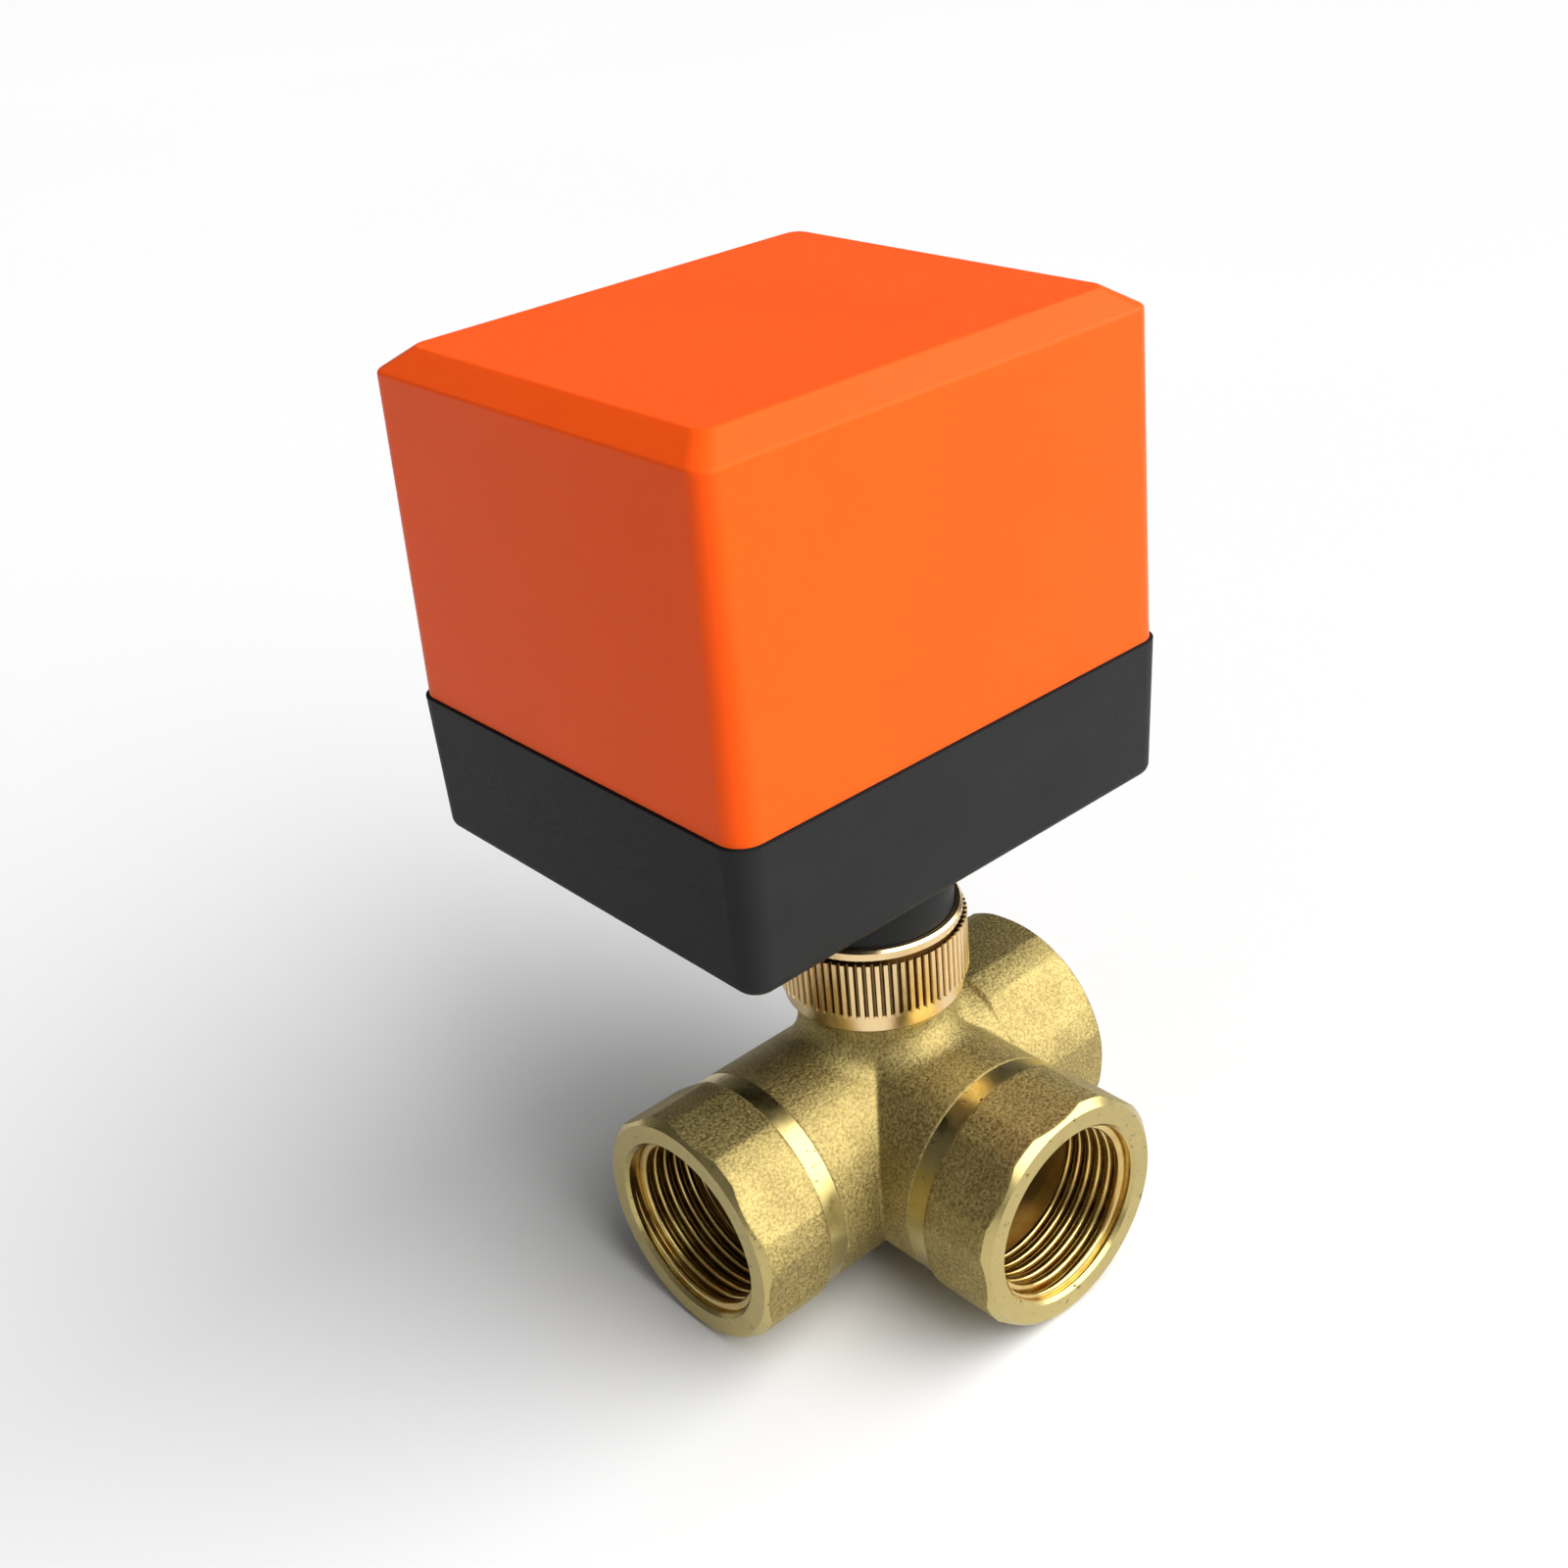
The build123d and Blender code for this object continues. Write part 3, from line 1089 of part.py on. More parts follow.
def pillar_points():
    """Places of the board's pillars: two along its left edge and two along its front."""
    (left, right), (front, back) = board_range()
    left_x = left + LEFT_PILLAR_INSET
    rear_y = back - REAR_PILLAR_INSET
    right_x = right - RIGHT_PILLAR_INSET
    front_y = front + FRONT_PILLAR_INSET
    beside = [(left_x, rear_y), (left_x, rear_y - LEFT_PILLAR_PITCH)]
    return beside + [(right_x, front_y), (right_x - FRONT_PILLAR_PITCH, front_y)]


def make_board_pillars():
    """Hexagon spacers between the gear plate and the board."""
    hexagon = RegularPolygon(PILLAR_FLATS / 2, 6, major_radius=False)
    column = extrude(hexagon, BOARD_BASE - PLATE_TOP)
    return [Pos(x, y, PLATE_TOP) * column for x, y in pillar_points()]


def make_circuit_board():
    """Board drilled for its screws."""
    x_range, y_range = board_range()
    board = block(x_range, y_range, (BOARD_BASE, BOARD_TOP))
    for place in pillar_points():
        board -= rod(SMALL_SCREW_RADIUS, BOARD_BASE, BOARD_TOP, place)
    return board


def make_board_screws():
    """Screws through the board into the pillars' ends."""
    return [
        pan_screw(SMALL_SCREW_RADIUS, SMALL_HEAD_RADIUS, SMALL_HEAD_HEIGHT, BOARD_THICKNESS, p, BOARD_TOP)
        for p in pillar_points()
    ]


def make_terminal_block():
    """Row of screw terminals facing the cable inlet."""
    back_y = board_range()[1][1]
    length = TERMINAL_WAYS * TERMINAL_PITCH
    left = GROMMET_X - length
    sill = BOARD_TOP + TERMINAL_SILL
    roof = BOARD_TOP + TERMINAL_HEIGHT
    body = block((left, left + length), (back_y - TERMINAL_DEPTH, back_y), (BOARD_TOP, roof))
    half_mouth = TERMINAL_PITCH / 2 - TERMINAL_WALL
    for way in range(TERMINAL_WAYS):
        x = left + (way + 0.5) * TERMINAL_PITCH
        body -= block(
            (x - half_mouth, x + half_mouth),
            (back_y - TERMINAL_MOUTH_DEPTH, back_y),
            (sill, sill + TERMINAL_MOUTH_HEIGHT),
        )
        place = (x, back_y - TERMINAL_DEPTH / 2)
        body -= rod(TERMINAL_SCREW_RADIUS, roof - TERMINAL_SCREW_DEPTH, roof, place)
    return body


def on_board(size, inset):
    """Box-shaped component standing on the board, set in from its front left corner."""
    (left, _), (front, _) = board_range()
    x, y = left + inset[0], front + inset[1]
    return block((x, x + size[0]), (y, y + size[1]), (BOARD_TOP, BOARD_TOP + size[2]))


def make_capacitor():
    """Running capacitor of the motor, with softened edges."""
    part = on_board(CAPACITOR_SIZE, CAPACITOR_INSET)
    return fillet(part.edges().filter_by(Axis.Z), CAPACITOR_ROUNDING)


def make_relay():
    """Relay that reverses the motor."""
    part = on_board(RELAY_SIZE, RELAY_INSET)
    return chamfer(part.edges().group_by(Axis.Z)[-1], RELAY_CHAMFER)


PIECES = {
    "valve_body": make_valve_body(),
    "port_a_adaptor": TO_PORT_A * make_port_adaptor(PORT_A_REACH, A_BODY_END, PORT_A_TURN),
    "port_b_adaptor": TO_PORT_B * make_port_adaptor(PORT_B_REACH, B_BODY_END, PORT_B_TURN),
    "seat_a": TO_PORT_A * make_seat(),
    "seat_b": TO_PORT_B * make_seat(),
    "seat_c": TO_PORT_C * make_seat(),
    "ball": make_ball(),
    "stem": make_stem(),
    "stem_thrust_washer": make_thrust_washer(),
    "stem_o_ring_lower": make_o_ring(O_RING_LEVELS[0]),
    "stem_o_ring_upper": make_o_ring(O_RING_LEVELS[1]),
    "union_nut": make_union_nut(),
    "nut_snap_ring": make_snap_ring(),
    "base_housing": make_base_housing(),
    "cover": make_cover(),
    "cover_gasket": make_cover_gasket(),
    "cover_screws": make_cover_screws(),
    "cable_grommet": make_cable_grommet(),
    "neck_bush": make_neck_bush(),
    "output_shaft": make_output_shaft(),
    "output_gear": make_output_gear(),
    "compound_gear_slow": make_compound_gear(
        SECOND_GEAR_TEETH, SECOND_PHASE, SECOND_CENTRE, OUTPUT_GEAR_BASE, SECOND_LEVEL
    ),
    "compound_gear_fast": make_compound_gear(
        FIRST_GEAR_TEETH, FIRST_PHASE, FIRST_CENTRE, SECOND_LEVEL, FIRST_LEVEL
    ),
    "gear_axles": make_gear_axles(),
    "gear_plate": make_gear_plate(),
    "plate_screws": make_plate_screws(),
    "motor_end_plate": make_motor_end_plate(),
    "motor_can": make_motor_can(),
    "motor_coil": make_motor_coil(),
    "motor_rotor": make_motor_rotor(),
    "motor_shaft": make_motor_shaft(),
    "motor_pinion": make_motor_pinion(),
    "motor_screws": make_motor_screws(),
    "cam_lower": make_cam(CAM_LEVELS[0], 0.0, LEVER_SWING),
    "cam_upper": make_cam(CAM_LEVELS[1], LEVER_SWING, 0.0),
    "switch_bracket": switch_slab(PLATE_TOP, SWITCH_LEVELS[0]),
    "microswitch_lower": make_microswitch(SWITCH_LEVELS[0]),
    "switch_spacer": switch_slab(SWITCH_LEVELS[0] + SWITCH_WIDTH, SWITCH_LEVELS[1]),
    "microswitch_upper": make_microswitch(SWITCH_LEVELS[1]),
    "switch_lever_lower": make_switch_lever(SWITCH_LEVELS[0], 0.0),
    "switch_lever_upper": make_switch_lever(SWITCH_LEVELS[1], LEVER_SWING),
    "switch_button_lower": make_switch_button(SWITCH_LEVELS[0], 0.0),
    "switch_button_upper": make_switch_button(SWITCH_LEVELS[1], BUTTON_TRAVEL),
    "switch_screws": make_switch_screws(),
    "board_pillars": make_board_pillars(),
    "circuit_board": make_circuit_board(),
    "board_screws": make_board_screws(),
    "terminal_block": make_terminal_block(),
    "capacitor": make_capacitor(),
    "relay": make_relay(),
}

os.makedirs("parts", exist_ok=True)
to_port_a_mouth = Pos(PORT_A_REACH, 0, 0)
for node, piece in PIECES.items():
    solids = piece if isinstance(piece, list) else [piece]
    placed = Compound(children=[to_port_a_mouth * solid for solid in solids])
    export_step(placed, f"parts/{node}.step")
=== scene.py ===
import json
from math import cos, pi, radians, sin, tau

import bmesh
import bpy
import numpy as np
from mathutils import Euler, Matrix, Vector


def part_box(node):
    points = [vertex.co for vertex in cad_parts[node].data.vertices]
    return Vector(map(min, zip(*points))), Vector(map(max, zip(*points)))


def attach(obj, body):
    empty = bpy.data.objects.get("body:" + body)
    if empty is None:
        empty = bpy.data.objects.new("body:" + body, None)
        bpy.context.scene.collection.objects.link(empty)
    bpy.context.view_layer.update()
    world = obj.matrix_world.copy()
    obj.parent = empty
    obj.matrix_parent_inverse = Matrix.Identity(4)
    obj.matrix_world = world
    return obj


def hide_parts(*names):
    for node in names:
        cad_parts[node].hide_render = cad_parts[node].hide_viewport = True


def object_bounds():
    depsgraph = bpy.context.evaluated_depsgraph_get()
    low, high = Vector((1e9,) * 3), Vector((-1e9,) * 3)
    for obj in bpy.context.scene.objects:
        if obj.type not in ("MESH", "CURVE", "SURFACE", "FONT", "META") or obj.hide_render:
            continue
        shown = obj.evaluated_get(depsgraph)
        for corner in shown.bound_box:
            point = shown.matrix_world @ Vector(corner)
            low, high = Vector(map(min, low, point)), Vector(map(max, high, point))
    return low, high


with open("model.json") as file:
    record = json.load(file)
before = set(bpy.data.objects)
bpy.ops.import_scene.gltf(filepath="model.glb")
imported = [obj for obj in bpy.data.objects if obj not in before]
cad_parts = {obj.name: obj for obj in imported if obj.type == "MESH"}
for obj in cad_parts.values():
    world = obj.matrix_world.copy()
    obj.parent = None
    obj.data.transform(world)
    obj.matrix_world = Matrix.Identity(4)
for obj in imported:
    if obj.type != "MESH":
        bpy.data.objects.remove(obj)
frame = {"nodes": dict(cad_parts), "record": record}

CAD_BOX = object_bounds()

# Finishes, threads, fasteners and studio for a three-way brass ball valve with a motor actuator.
# Metres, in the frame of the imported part: port A opens to -X at the origin, +Z runs up the stem.

bl_info = {
    "name": "Motorized Ball Valve",
    "version": (1, 0, 0),
    "blender": (4, 5, 0),
    "location": "View3D > Sidebar > Ball Valve",
    "description": "Dresses a motorized three-way ball valve with its finishes, threads and fasteners",
    "category": "Object",
}

MM = 0.001
WELD_DISTANCE = 0.001 * MM
SAME_PLACE = 0.01 * MM
LEAST_DISTANCE = 1e-9
NODES = frame["nodes"]
MOUNTS = {mount["name"]: mount for mount in frame["record"]["mounts"]}
PORT_NAMES = ("port_a", "port_b", "port_c")
PORT_RADIUS = MOUNTS["port_a"]["dims"]["r_mm"] * MM
STEM_X = MOUNTS["port_b"]["pos_m"][0]
FLOOR_HEIGHT = CAD_BOX[0].z


# Values that a user would change

COLOUR = {"subtype": "COLOR", "size": 3, "min": 0.0, "max": 1.0}


class FinishSettings(bpy.types.PropertyGroup):
    """Colours and grain of the visible surfaces."""

    brass_light: bpy.props.FloatVectorProperty(
        name="Brass light", description="Peaks of the blasted brass", default=(0.51, 0.415, 0.165), **COLOUR
    )
    brass_dark: bpy.props.FloatVectorProperty(
        name="Brass dark", description="Pits of the blasted brass", default=(0.22, 0.165, 0.06), **COLOUR
    )
    nut_brass: bpy.props.FloatVectorProperty(
        name="Nut brass", description="Drawn brass of the union nut", default=(0.86, 0.65, 0.35), **COLOUR
    )
    cover_orange: bpy.props.FloatVectorProperty(
        name="Cover orange", description="Moulded colour of the cover", default=(0.86, 0.086, 0.007), **COLOUR
    )
    base_black: bpy.props.FloatVectorProperty(
        name="Base black", description="Moulded colour of the base", default=(0.0145, 0.015, 0.015), **COLOUR
    )
    grain_size: bpy.props.FloatProperty(
        name="Grain size", description="Width of one pit of the blasted brass", unit="LENGTH",
        min=0.0001, max=0.002, precision=5, default=0.0004,
    )
    grain_depth: bpy.props.FloatProperty(
        name="Grain depth", description="Depth of the pits of the blasted brass", unit="LENGTH",
        min=0.0, max=0.0005, precision=5, default=0.00009,
    )


class ThreadSettings(bpy.types.PropertyGroup):
    """Pipe thread of the three ports."""

    pitch: bpy.props.FloatProperty(
        name="Pitch", description="Distance from one turn to the next", unit="LENGTH",
        min=0.0005, max=0.003, precision=5, default=0.001814,
    )
    depth: bpy.props.FloatProperty(
        name="Depth", description="Height of the thread's ridge", unit="LENGTH",
        min=0.0002, max=0.002, precision=5, default=0.001162,
    )
    start: bpy.props.FloatProperty(
        name="Start", description="Plain stretch between the mouth and the first ridge", unit="LENGTH",
        min=0.0, max=0.004, precision=5, default=0.0012,
    )


class StudioSettings(bpy.types.PropertyGroup):
    """Camera and light of the still."""

    lens: bpy.props.FloatProperty(
        name="Lens", description="Focal length on a sensor 36 mm wide, in millimetres",
        min=20.0, max=120.0, default=44.5,
    )
    camera_place: bpy.props.FloatVectorProperty(
        name="Camera place", description="Where the camera stands", subtype="TRANSLATION", size=3,
        precision=4, default=(-0.11662, -0.17206, 0.18355),
    )
    camera_azimuth: bpy.props.FloatProperty(
        name="Camera azimuth", description="Turn of the view from +Y towards +X", subtype="ANGLE",
        default=radians(39.48),
    )
    camera_elevation: bpy.props.FloatProperty(
        name="Camera elevation", description="How far the camera looks down", subtype="ANGLE",
        default=radians(28.885),
    )
    camera_roll: bpy.props.FloatProperty(
        name="Camera roll", description="Tilt of the picture to the right", subtype="ANGLE",
        default=radians(5.352),
    )
    key_strength: bpy.props.FloatProperty(
        name="Key strength",
        description="Light that the key throws on a square metre that faces it, in watts",
        min=0.0, max=20.0, default=6.2,
    )
    key_spread: bpy.props.FloatProperty(
        name="Key spread", description="How wide the soft key light is in the sky", subtype="ANGLE",
        min=radians(1), max=radians(170), default=radians(85),
    )
    room_front: bpy.props.FloatProperty(
        name="Room front", description="Brightness of the room in front of the valve",
        min=0.0, max=5.0, default=0.44,
    )
    room_back: bpy.props.FloatProperty(
        name="Room back", description="Brightness of the room behind the valve",
        min=0.0, max=5.0, default=0.10,
    )


# Material trees

WAVE_LENGTH = tau / 20  # distance between the rings of a wave texture at scale 1
NOISE_LOW, NOISE_HIGH = 0.3, 0.7  # between these lie nearly all values of a noise
BEVEL_SAMPLES = 6


class Tree:
    """A node tree, with short ways to add to it."""

    def __init__(self, tree):
        self.tree = tree

    def add(self, kind, feeds=(), **settings):
        """New node with its properties set and its inputs fed by name or number."""
        node = self.tree.nodes.new(kind)
        for key, value in settings.items():
            setattr(node, key, value)
        for key, value in dict(feeds).items():
            self.feed(node.inputs[key], value)
        return node

    def feed(self, socket, value):
        """Links a socket to what feeds it, or sets its value."""
        if isinstance(value, bpy.types.NodeSocket):
            self.tree.links.new(value, socket)
        else:
            socket.default_value = value

    def spread(self, value, low, high, to_low=0.0, to_high=1.0):
        """Value between low and high mapped to another range."""
        feeds = {"Value": value, "From Min": low, "From Max": high, "To Min": to_low, "To Max": to_high}
        return self.add("ShaderNodeMapRange", feeds).outputs["Result"]


class Finish(Tree):
    """A new material's tree, with short ways to add what the finishes share."""

    def __init__(self, name):
        self.material = bpy.data.materials.new(name)
        self.material.use_nodes = True
        super().__init__(self.material.node_tree)
        self.shader = self.tree.nodes["Principled BSDF"]
        self.place = self.add("ShaderNodeTexCoord").outputs["Object"]

    def set(self, **values):
        """Sets or feeds the shader's sockets by name, with _ for a space."""
        for name, value in values.items():
            self.feed(self.shader.inputs[name.replace("_", " ")], value)

    def stretched(self, stretch):
        """Object coordinates scaled along each axis."""
        feeds = {"Vector": self.place, "Scale": stretch}
        return self.add("ShaderNodeMapping", feeds).outputs["Vector"]

    def noise(self, size, detail=2.0, roughness=0.5, place=None):
        """Soft noise whose blobs are about as wide as the size."""
        feeds = {"Vector": place or self.place, "Scale": 1 / size, "Detail": detail, "Roughness": roughness}
        return self.add("ShaderNodeTexNoise", feeds).outputs["Fac"]

    def cells(self, size):
        """Distance to the middle of round cells of the size."""
        feeds = {"Vector": self.place, "Scale": 1 / size}
        return self.add("ShaderNodeTexVoronoi", feeds, feature="SMOOTH_F1").outputs["Distance"]

    def rings(self, axis, centre, pitch):
        """Tool marks in circles round an axis through a centre."""
        feeds = {"Vector": self.place, "Location": [-value for value in centre]}
        shifted = self.add("ShaderNodeMapping", feeds, vector_type="POINT").outputs["Vector"]
        feeds = {"Vector": shifted, "Scale": WAVE_LENGTH / pitch}
        return self.add("ShaderNodeTexWave", feeds, wave_type="RINGS", rings_direction=axis).outputs["Fac"]

    def from_stem(self):
        """Distance from the stem's axis."""
        feeds = {0: self.place, 1: (1.0, 1.0, 0.0), 2: (-STEM_X, 0.0, 0.0)}
        level = self.add("ShaderNodeVectorMath", feeds, operation="MULTIPLY_ADD").outputs["Vector"]
        return self.add("ShaderNodeVectorMath", {0: level}, operation="LENGTH").outputs["Value"]

    def vary(self, noise, low, high):
        """Number from low to high that follows a noise."""
        return self.spread(noise, NOISE_LOW, NOISE_HIGH, low, high)

    def blend(self, share, first, second):
        """Colour between two by a share."""
        node = self.add("ShaderNodeMix", {"Factor": share}, data_type="RGBA")
        colours = [socket for socket in node.inputs if socket.type == "RGBA"]
        self.feed(colours[0], first)
        self.feed(colours[1], second)
        return [socket for socket in node.outputs if socket.type == "RGBA"][0]

    def sum(self, first, second, share):
        """First value plus a share of the second."""
        feeds = {0: second, 1: share, 2: first}
        return self.add("ShaderNodeMath", feeds, operation="MULTIPLY_ADD").outputs[0]

    def relief(self, height, depth, strength, edge=0.0):
        """Bumps of a depth, fed to the shader's normal, over edges rounded to a radius."""
        feeds = {"Strength": strength, "Distance": depth, "Height": height}
        if edge:
            rounded = self.add("ShaderNodeBevel", {"Radius": edge}, samples=BEVEL_SAMPLES)
            feeds["Normal"] = rounded.outputs["Normal"]
        self.feed(self.shader.inputs["Normal"], self.add("ShaderNodeBump", feeds).outputs["Normal"])


def tone(colour, factor=1.0):
    """Colour with alpha, made lighter or darker by a factor."""
    return (*[min(1.0, channel * factor) for channel in colour], 1.0)


BLASTED_EDGE = 0.9 * MM
CLOUD_SIZE = 7 * MM
CLOUD_SHARE = 0.25
PIT_SHARE = 0.6


def blasted_brass(settings):
    """Forged brass, blasted to a fine bright grain."""
    finish = Finish("blasted_brass")
    grain = finish.noise(settings.grain_size, detail=3.0, roughness=0.6)
    pits = finish.cells(settings.grain_size * 1.5)
    clouds = finish.noise(CLOUD_SIZE, detail=2.0)
    share = finish.spread(finish.sum(grain, clouds, CLOUD_SHARE), 0.48, 0.80)
    colour = finish.blend(share, tone(settings.brass_dark), tone(settings.brass_light))
    finish.set(Base_Color=colour, Metallic=1.0, Roughness=finish.vary(grain, 0.50, 0.68))
    finish.relief(finish.sum(grain, pits, PIT_SHARE), settings.grain_depth, 0.9, edge=BLASTED_EDGE)
    return finish.material


NICK_SIZE = 1.1 * MM
FACE_ROUGHNESS, FACE_PITCH = 0.24, 0.16 * MM
BAND_ROUGHNESS, BAND_PITCH = 0.30, 0.4 * MM
STEM_ROUGHNESS = 0.2


def turned_brass(settings, name, axis, centre, roughness, pitch=FACE_PITCH):
    """Brass cut on a lathe, with fine rings round its axis and a few nicks."""
    finish = Finish(name)
    marks = finish.rings(axis, centre, pitch)
    nicks = finish.spread(finish.noise(NICK_SIZE, detail=4.0, roughness=0.7), 0.30, 0.38)
    smear = finish.noise(3.5 * MM, detail=2.0)
    colour = finish.blend(smear, tone(settings.brass_light, 0.92), tone(settings.brass_light, 1.08))
    colour = finish.blend(nicks, tone(settings.brass_dark, 0.5), colour)
    finish.set(Base_Color=colour, Metallic=1.0)
    finish.set(Roughness=finish.vary(smear, roughness * 0.8, roughness * 1.3))
    finish.relief(finish.sum(nicks, marks, 0.15), 0.03 * MM, 0.6)
    return finish.material


OILED_BRASS = (0.58, 0.40, 0.15)


def thread_brass(settings):
    """Brass of the cut threads, darker and glossier with cutting oil."""
    finish = Finish("thread_brass")
    smear = finish.noise(3.0 * MM, detail=2.0)
    share = finish.spread(smear, 0.35, 0.7)
    colour = finish.blend(share, tone(OILED_BRASS), tone(settings.brass_light, 1.35))
    finish.set(Base_Color=colour, Metallic=1.0, Roughness=finish.vary(smear, 0.16, 0.26))
    finish.relief(smear, 0.01 * MM, 0.3)
    return finish.material


KNURL_ROOT = 13.28 * MM
KNURL_CREST = 13.74 * MM
# Painted shade: dark brown that the knurl's grooves take towards their roots
KNURL_GROOVE_SHADE = (0.15, 0.095, 0.036)
DRAWN_GRAIN = 0.25 * MM
DRAWN_STRETCH = (1.0, 1.0, 9.0)


def nut_brass(settings, name, shaded_grooves=False):
    """Drawn brass of the union nut, glossy and redder than the body, with painted shade darkening a knurl's
    grooves towards their roots.
    """
    finish = Finish(name)
    smear = finish.noise(2.2 * MM, detail=3.0)
    lines = finish.noise(DRAWN_GRAIN, detail=2.0, place=finish.stretched(DRAWN_STRETCH))
    colour = finish.blend(smear, tone(settings.nut_brass, 0.86), tone(settings.nut_brass, 1.1))
    if shaded_grooves:
        # Painted shade: darker from the knurl's crest down to its root
        rise = finish.spread(finish.from_stem(), KNURL_ROOT, KNURL_CREST)
        colour = finish.blend(rise, tone(KNURL_GROOVE_SHADE), colour)
    finish.set(Base_Color=colour, Metallic=1.0, Roughness=finish.vary(smear, 0.15, 0.27))
    finish.relief(lines, 0.012 * MM, 0.5)
    return finish.material


def cover_plastic(settings):
    """Orange moulded plastic, satin and slightly translucent."""
    finish = Finish("cover_orange")
    clouds = finish.noise(14 * MM, detail=2.0)
    skin = finish.noise(0.5 * MM, detail=3.0)
    orange = settings.cover_orange
    colour = finish.blend(clouds, tone(orange, 0.96), tone(orange, 1.03))
    finish.set(Base_Color=colour, Roughness=finish.vary(skin, 0.34, 0.42))
    finish.set(Specular_IOR_Level=0.12, Specular_Tint=(1.0, 0.6, 0.35, 1.0))
    finish.set(Subsurface_Weight=0.15, Subsurface_Scale=4 * MM)
    finish.set(Subsurface_Radius=(1.0, 0.22, 0.06))
    finish.relief(skin, 0.006 * MM, 0.35)
    return finish.material


def base_plastic(settings):
    """Black moulded plastic with a faint bloom and pale specks of dust."""
    finish = Finish("base_black")
    clouds = finish.noise(9 * MM, detail=3.0)
    specks = finish.spread(finish.noise(0.7 * MM, detail=2.0, roughness=0.7), 0.70, 0.78)
    skin = finish.noise(0.35 * MM, detail=3.0)
    black = settings.base_black
    colour = finish.blend(clouds, tone(black, 0.85), tone(black, 1.25))
    colour = finish.blend(specks, colour, tone(black, 2.2))
    finish.set(Base_Color=colour, Roughness=finish.vary(skin, 0.44, 0.58))
    finish.set(Specular_IOR_Level=0.10)
    finish.relief(skin, 0.015 * MM, 0.5)
    return finish.material


SKIN_GRAIN = 0.4 * MM
BRUSHED_GRAIN = 0.3 * MM


def moulded(name, colour, roughness, translucent=0.0):
    """Moulded plastic or rubber of one colour with a fine skin."""
    finish = Finish(name)
    clouds = finish.noise(12 * SKIN_GRAIN, detail=2.0)
    skin = finish.noise(SKIN_GRAIN, detail=3.0)
    finish.set(Base_Color=finish.blend(clouds, tone(colour, 0.9), tone(colour, 1.1)))
    finish.set(Roughness=finish.vary(skin, roughness - 0.06, roughness + 0.06))
    if translucent:
        finish.set(Subsurface_Weight=translucent, Subsurface_Scale=1.5 * MM)
    finish.relief(skin, 0.012 * MM, 0.5)
    return finish.material


def plain_metal(name, colour, roughness, stretch=(1.0, 1.0, 1.0)):
    """Bare or plated metal, brushed across the axis whose stretch is the largest."""
    finish = Finish(name)
    lines = finish.noise(BRUSHED_GRAIN, detail=3.0, place=finish.stretched(stretch))
    clouds = finish.noise(4 * MM, detail=2.0)
    finish.set(Base_Color=finish.blend(clouds, tone(colour, 0.88), tone(colour, 1.08)), Metallic=1.0)
    finish.set(Roughness=finish.vary(lines, roughness * 0.75, roughness * 1.3))
    finish.relief(lines, 0.008 * MM, 0.5)
    return finish.material


COPPER_DARK = (0.42, 0.13, 0.05)
COPPER_LIGHT = (0.62, 0.24, 0.10)
WIRE_PITCH = 0.3 * MM


def wound_copper(centre):
    """Enamelled copper wire in close turns."""
    finish = Finish("wound_copper")
    turns = finish.rings("Z", centre, WIRE_PITCH)
    smear = finish.noise(2 * MM)
    colour = finish.blend(smear, tone(COPPER_DARK), tone(COPPER_LIGHT))
    finish.set(Base_Color=colour, Metallic=0.85, Roughness=0.32)
    finish.relief(turns, 0.08 * MM, 1.0)
    return finish.material


LACQUER_GREEN = (0.012, 0.095, 0.030)
TRACK_GREEN = (0.020, 0.17, 0.050)
TRACK_NET = {"Scale": 1 / MM, "Brick Width": 5.08, "Row Height": 1.27, "Mortar Size": 0.16}


def board_laminate():
    """Green lacquered laminate with paler copper tracks under the lacquer."""
    finish = Finish("board_laminate")
    track = finish.add("ShaderNodeTexBrick", {"Vector": finish.place, **TRACK_NET}).outputs["Fac"]
    weave = finish.noise(0.4 * MM, detail=1.0)
    colour = finish.blend(track, tone(LACQUER_GREEN), tone(TRACK_GREEN))
    finish.set(Base_Color=colour, Roughness=finish.vary(weave, 0.28, 0.40))
    finish.relief(finish.sum(weave, track, 2.0), 0.02 * MM, 0.6)
    return finish.material


# Putting finishes on the frame's nodes

def dress(names, material):
    """One finish all over each named node."""
    for name in names:
        mesh = NODES[name].data
        mesh.materials.clear()
        mesh.materials.append(material)


def face_values(mesh):
    """Middle and outward direction of every face."""
    count = len(mesh.polygons)
    middles = np.empty(count * 3)
    normals = np.empty(count * 3)
    mesh.polygons.foreach_get("center", middles)
    mesh.polygons.foreach_get("normal", normals)
    return middles.reshape(-1, 3), normals.reshape(-1, 3)


def dress_faces(name, materials, chosen):
    """Several finishes on one node: chosen holds each face's place in the list."""
    mesh = NODES[name].data
    mesh.materials.clear()
    for material in materials:
        mesh.materials.append(material)
    mesh.polygons.foreach_set("material_index", chosen.astype(np.int32))
    mesh.update()


def round_axis(middles, normals, origin, axis):
    """For each face: place along an axis, distance from it, and how it faces along and away from it."""
    axis = np.array(axis, float)
    offset = middles - np.array(origin, float)
    along = offset @ axis
    across = offset - np.outer(along, axis)
    distance = np.linalg.norm(across, axis=1)
    faces_along = normals @ axis
    faces_away = np.einsum("ij,ij->i", normals, across) / np.maximum(distance, LEAST_DISTANCE)
    return along, distance, faces_along, faces_away
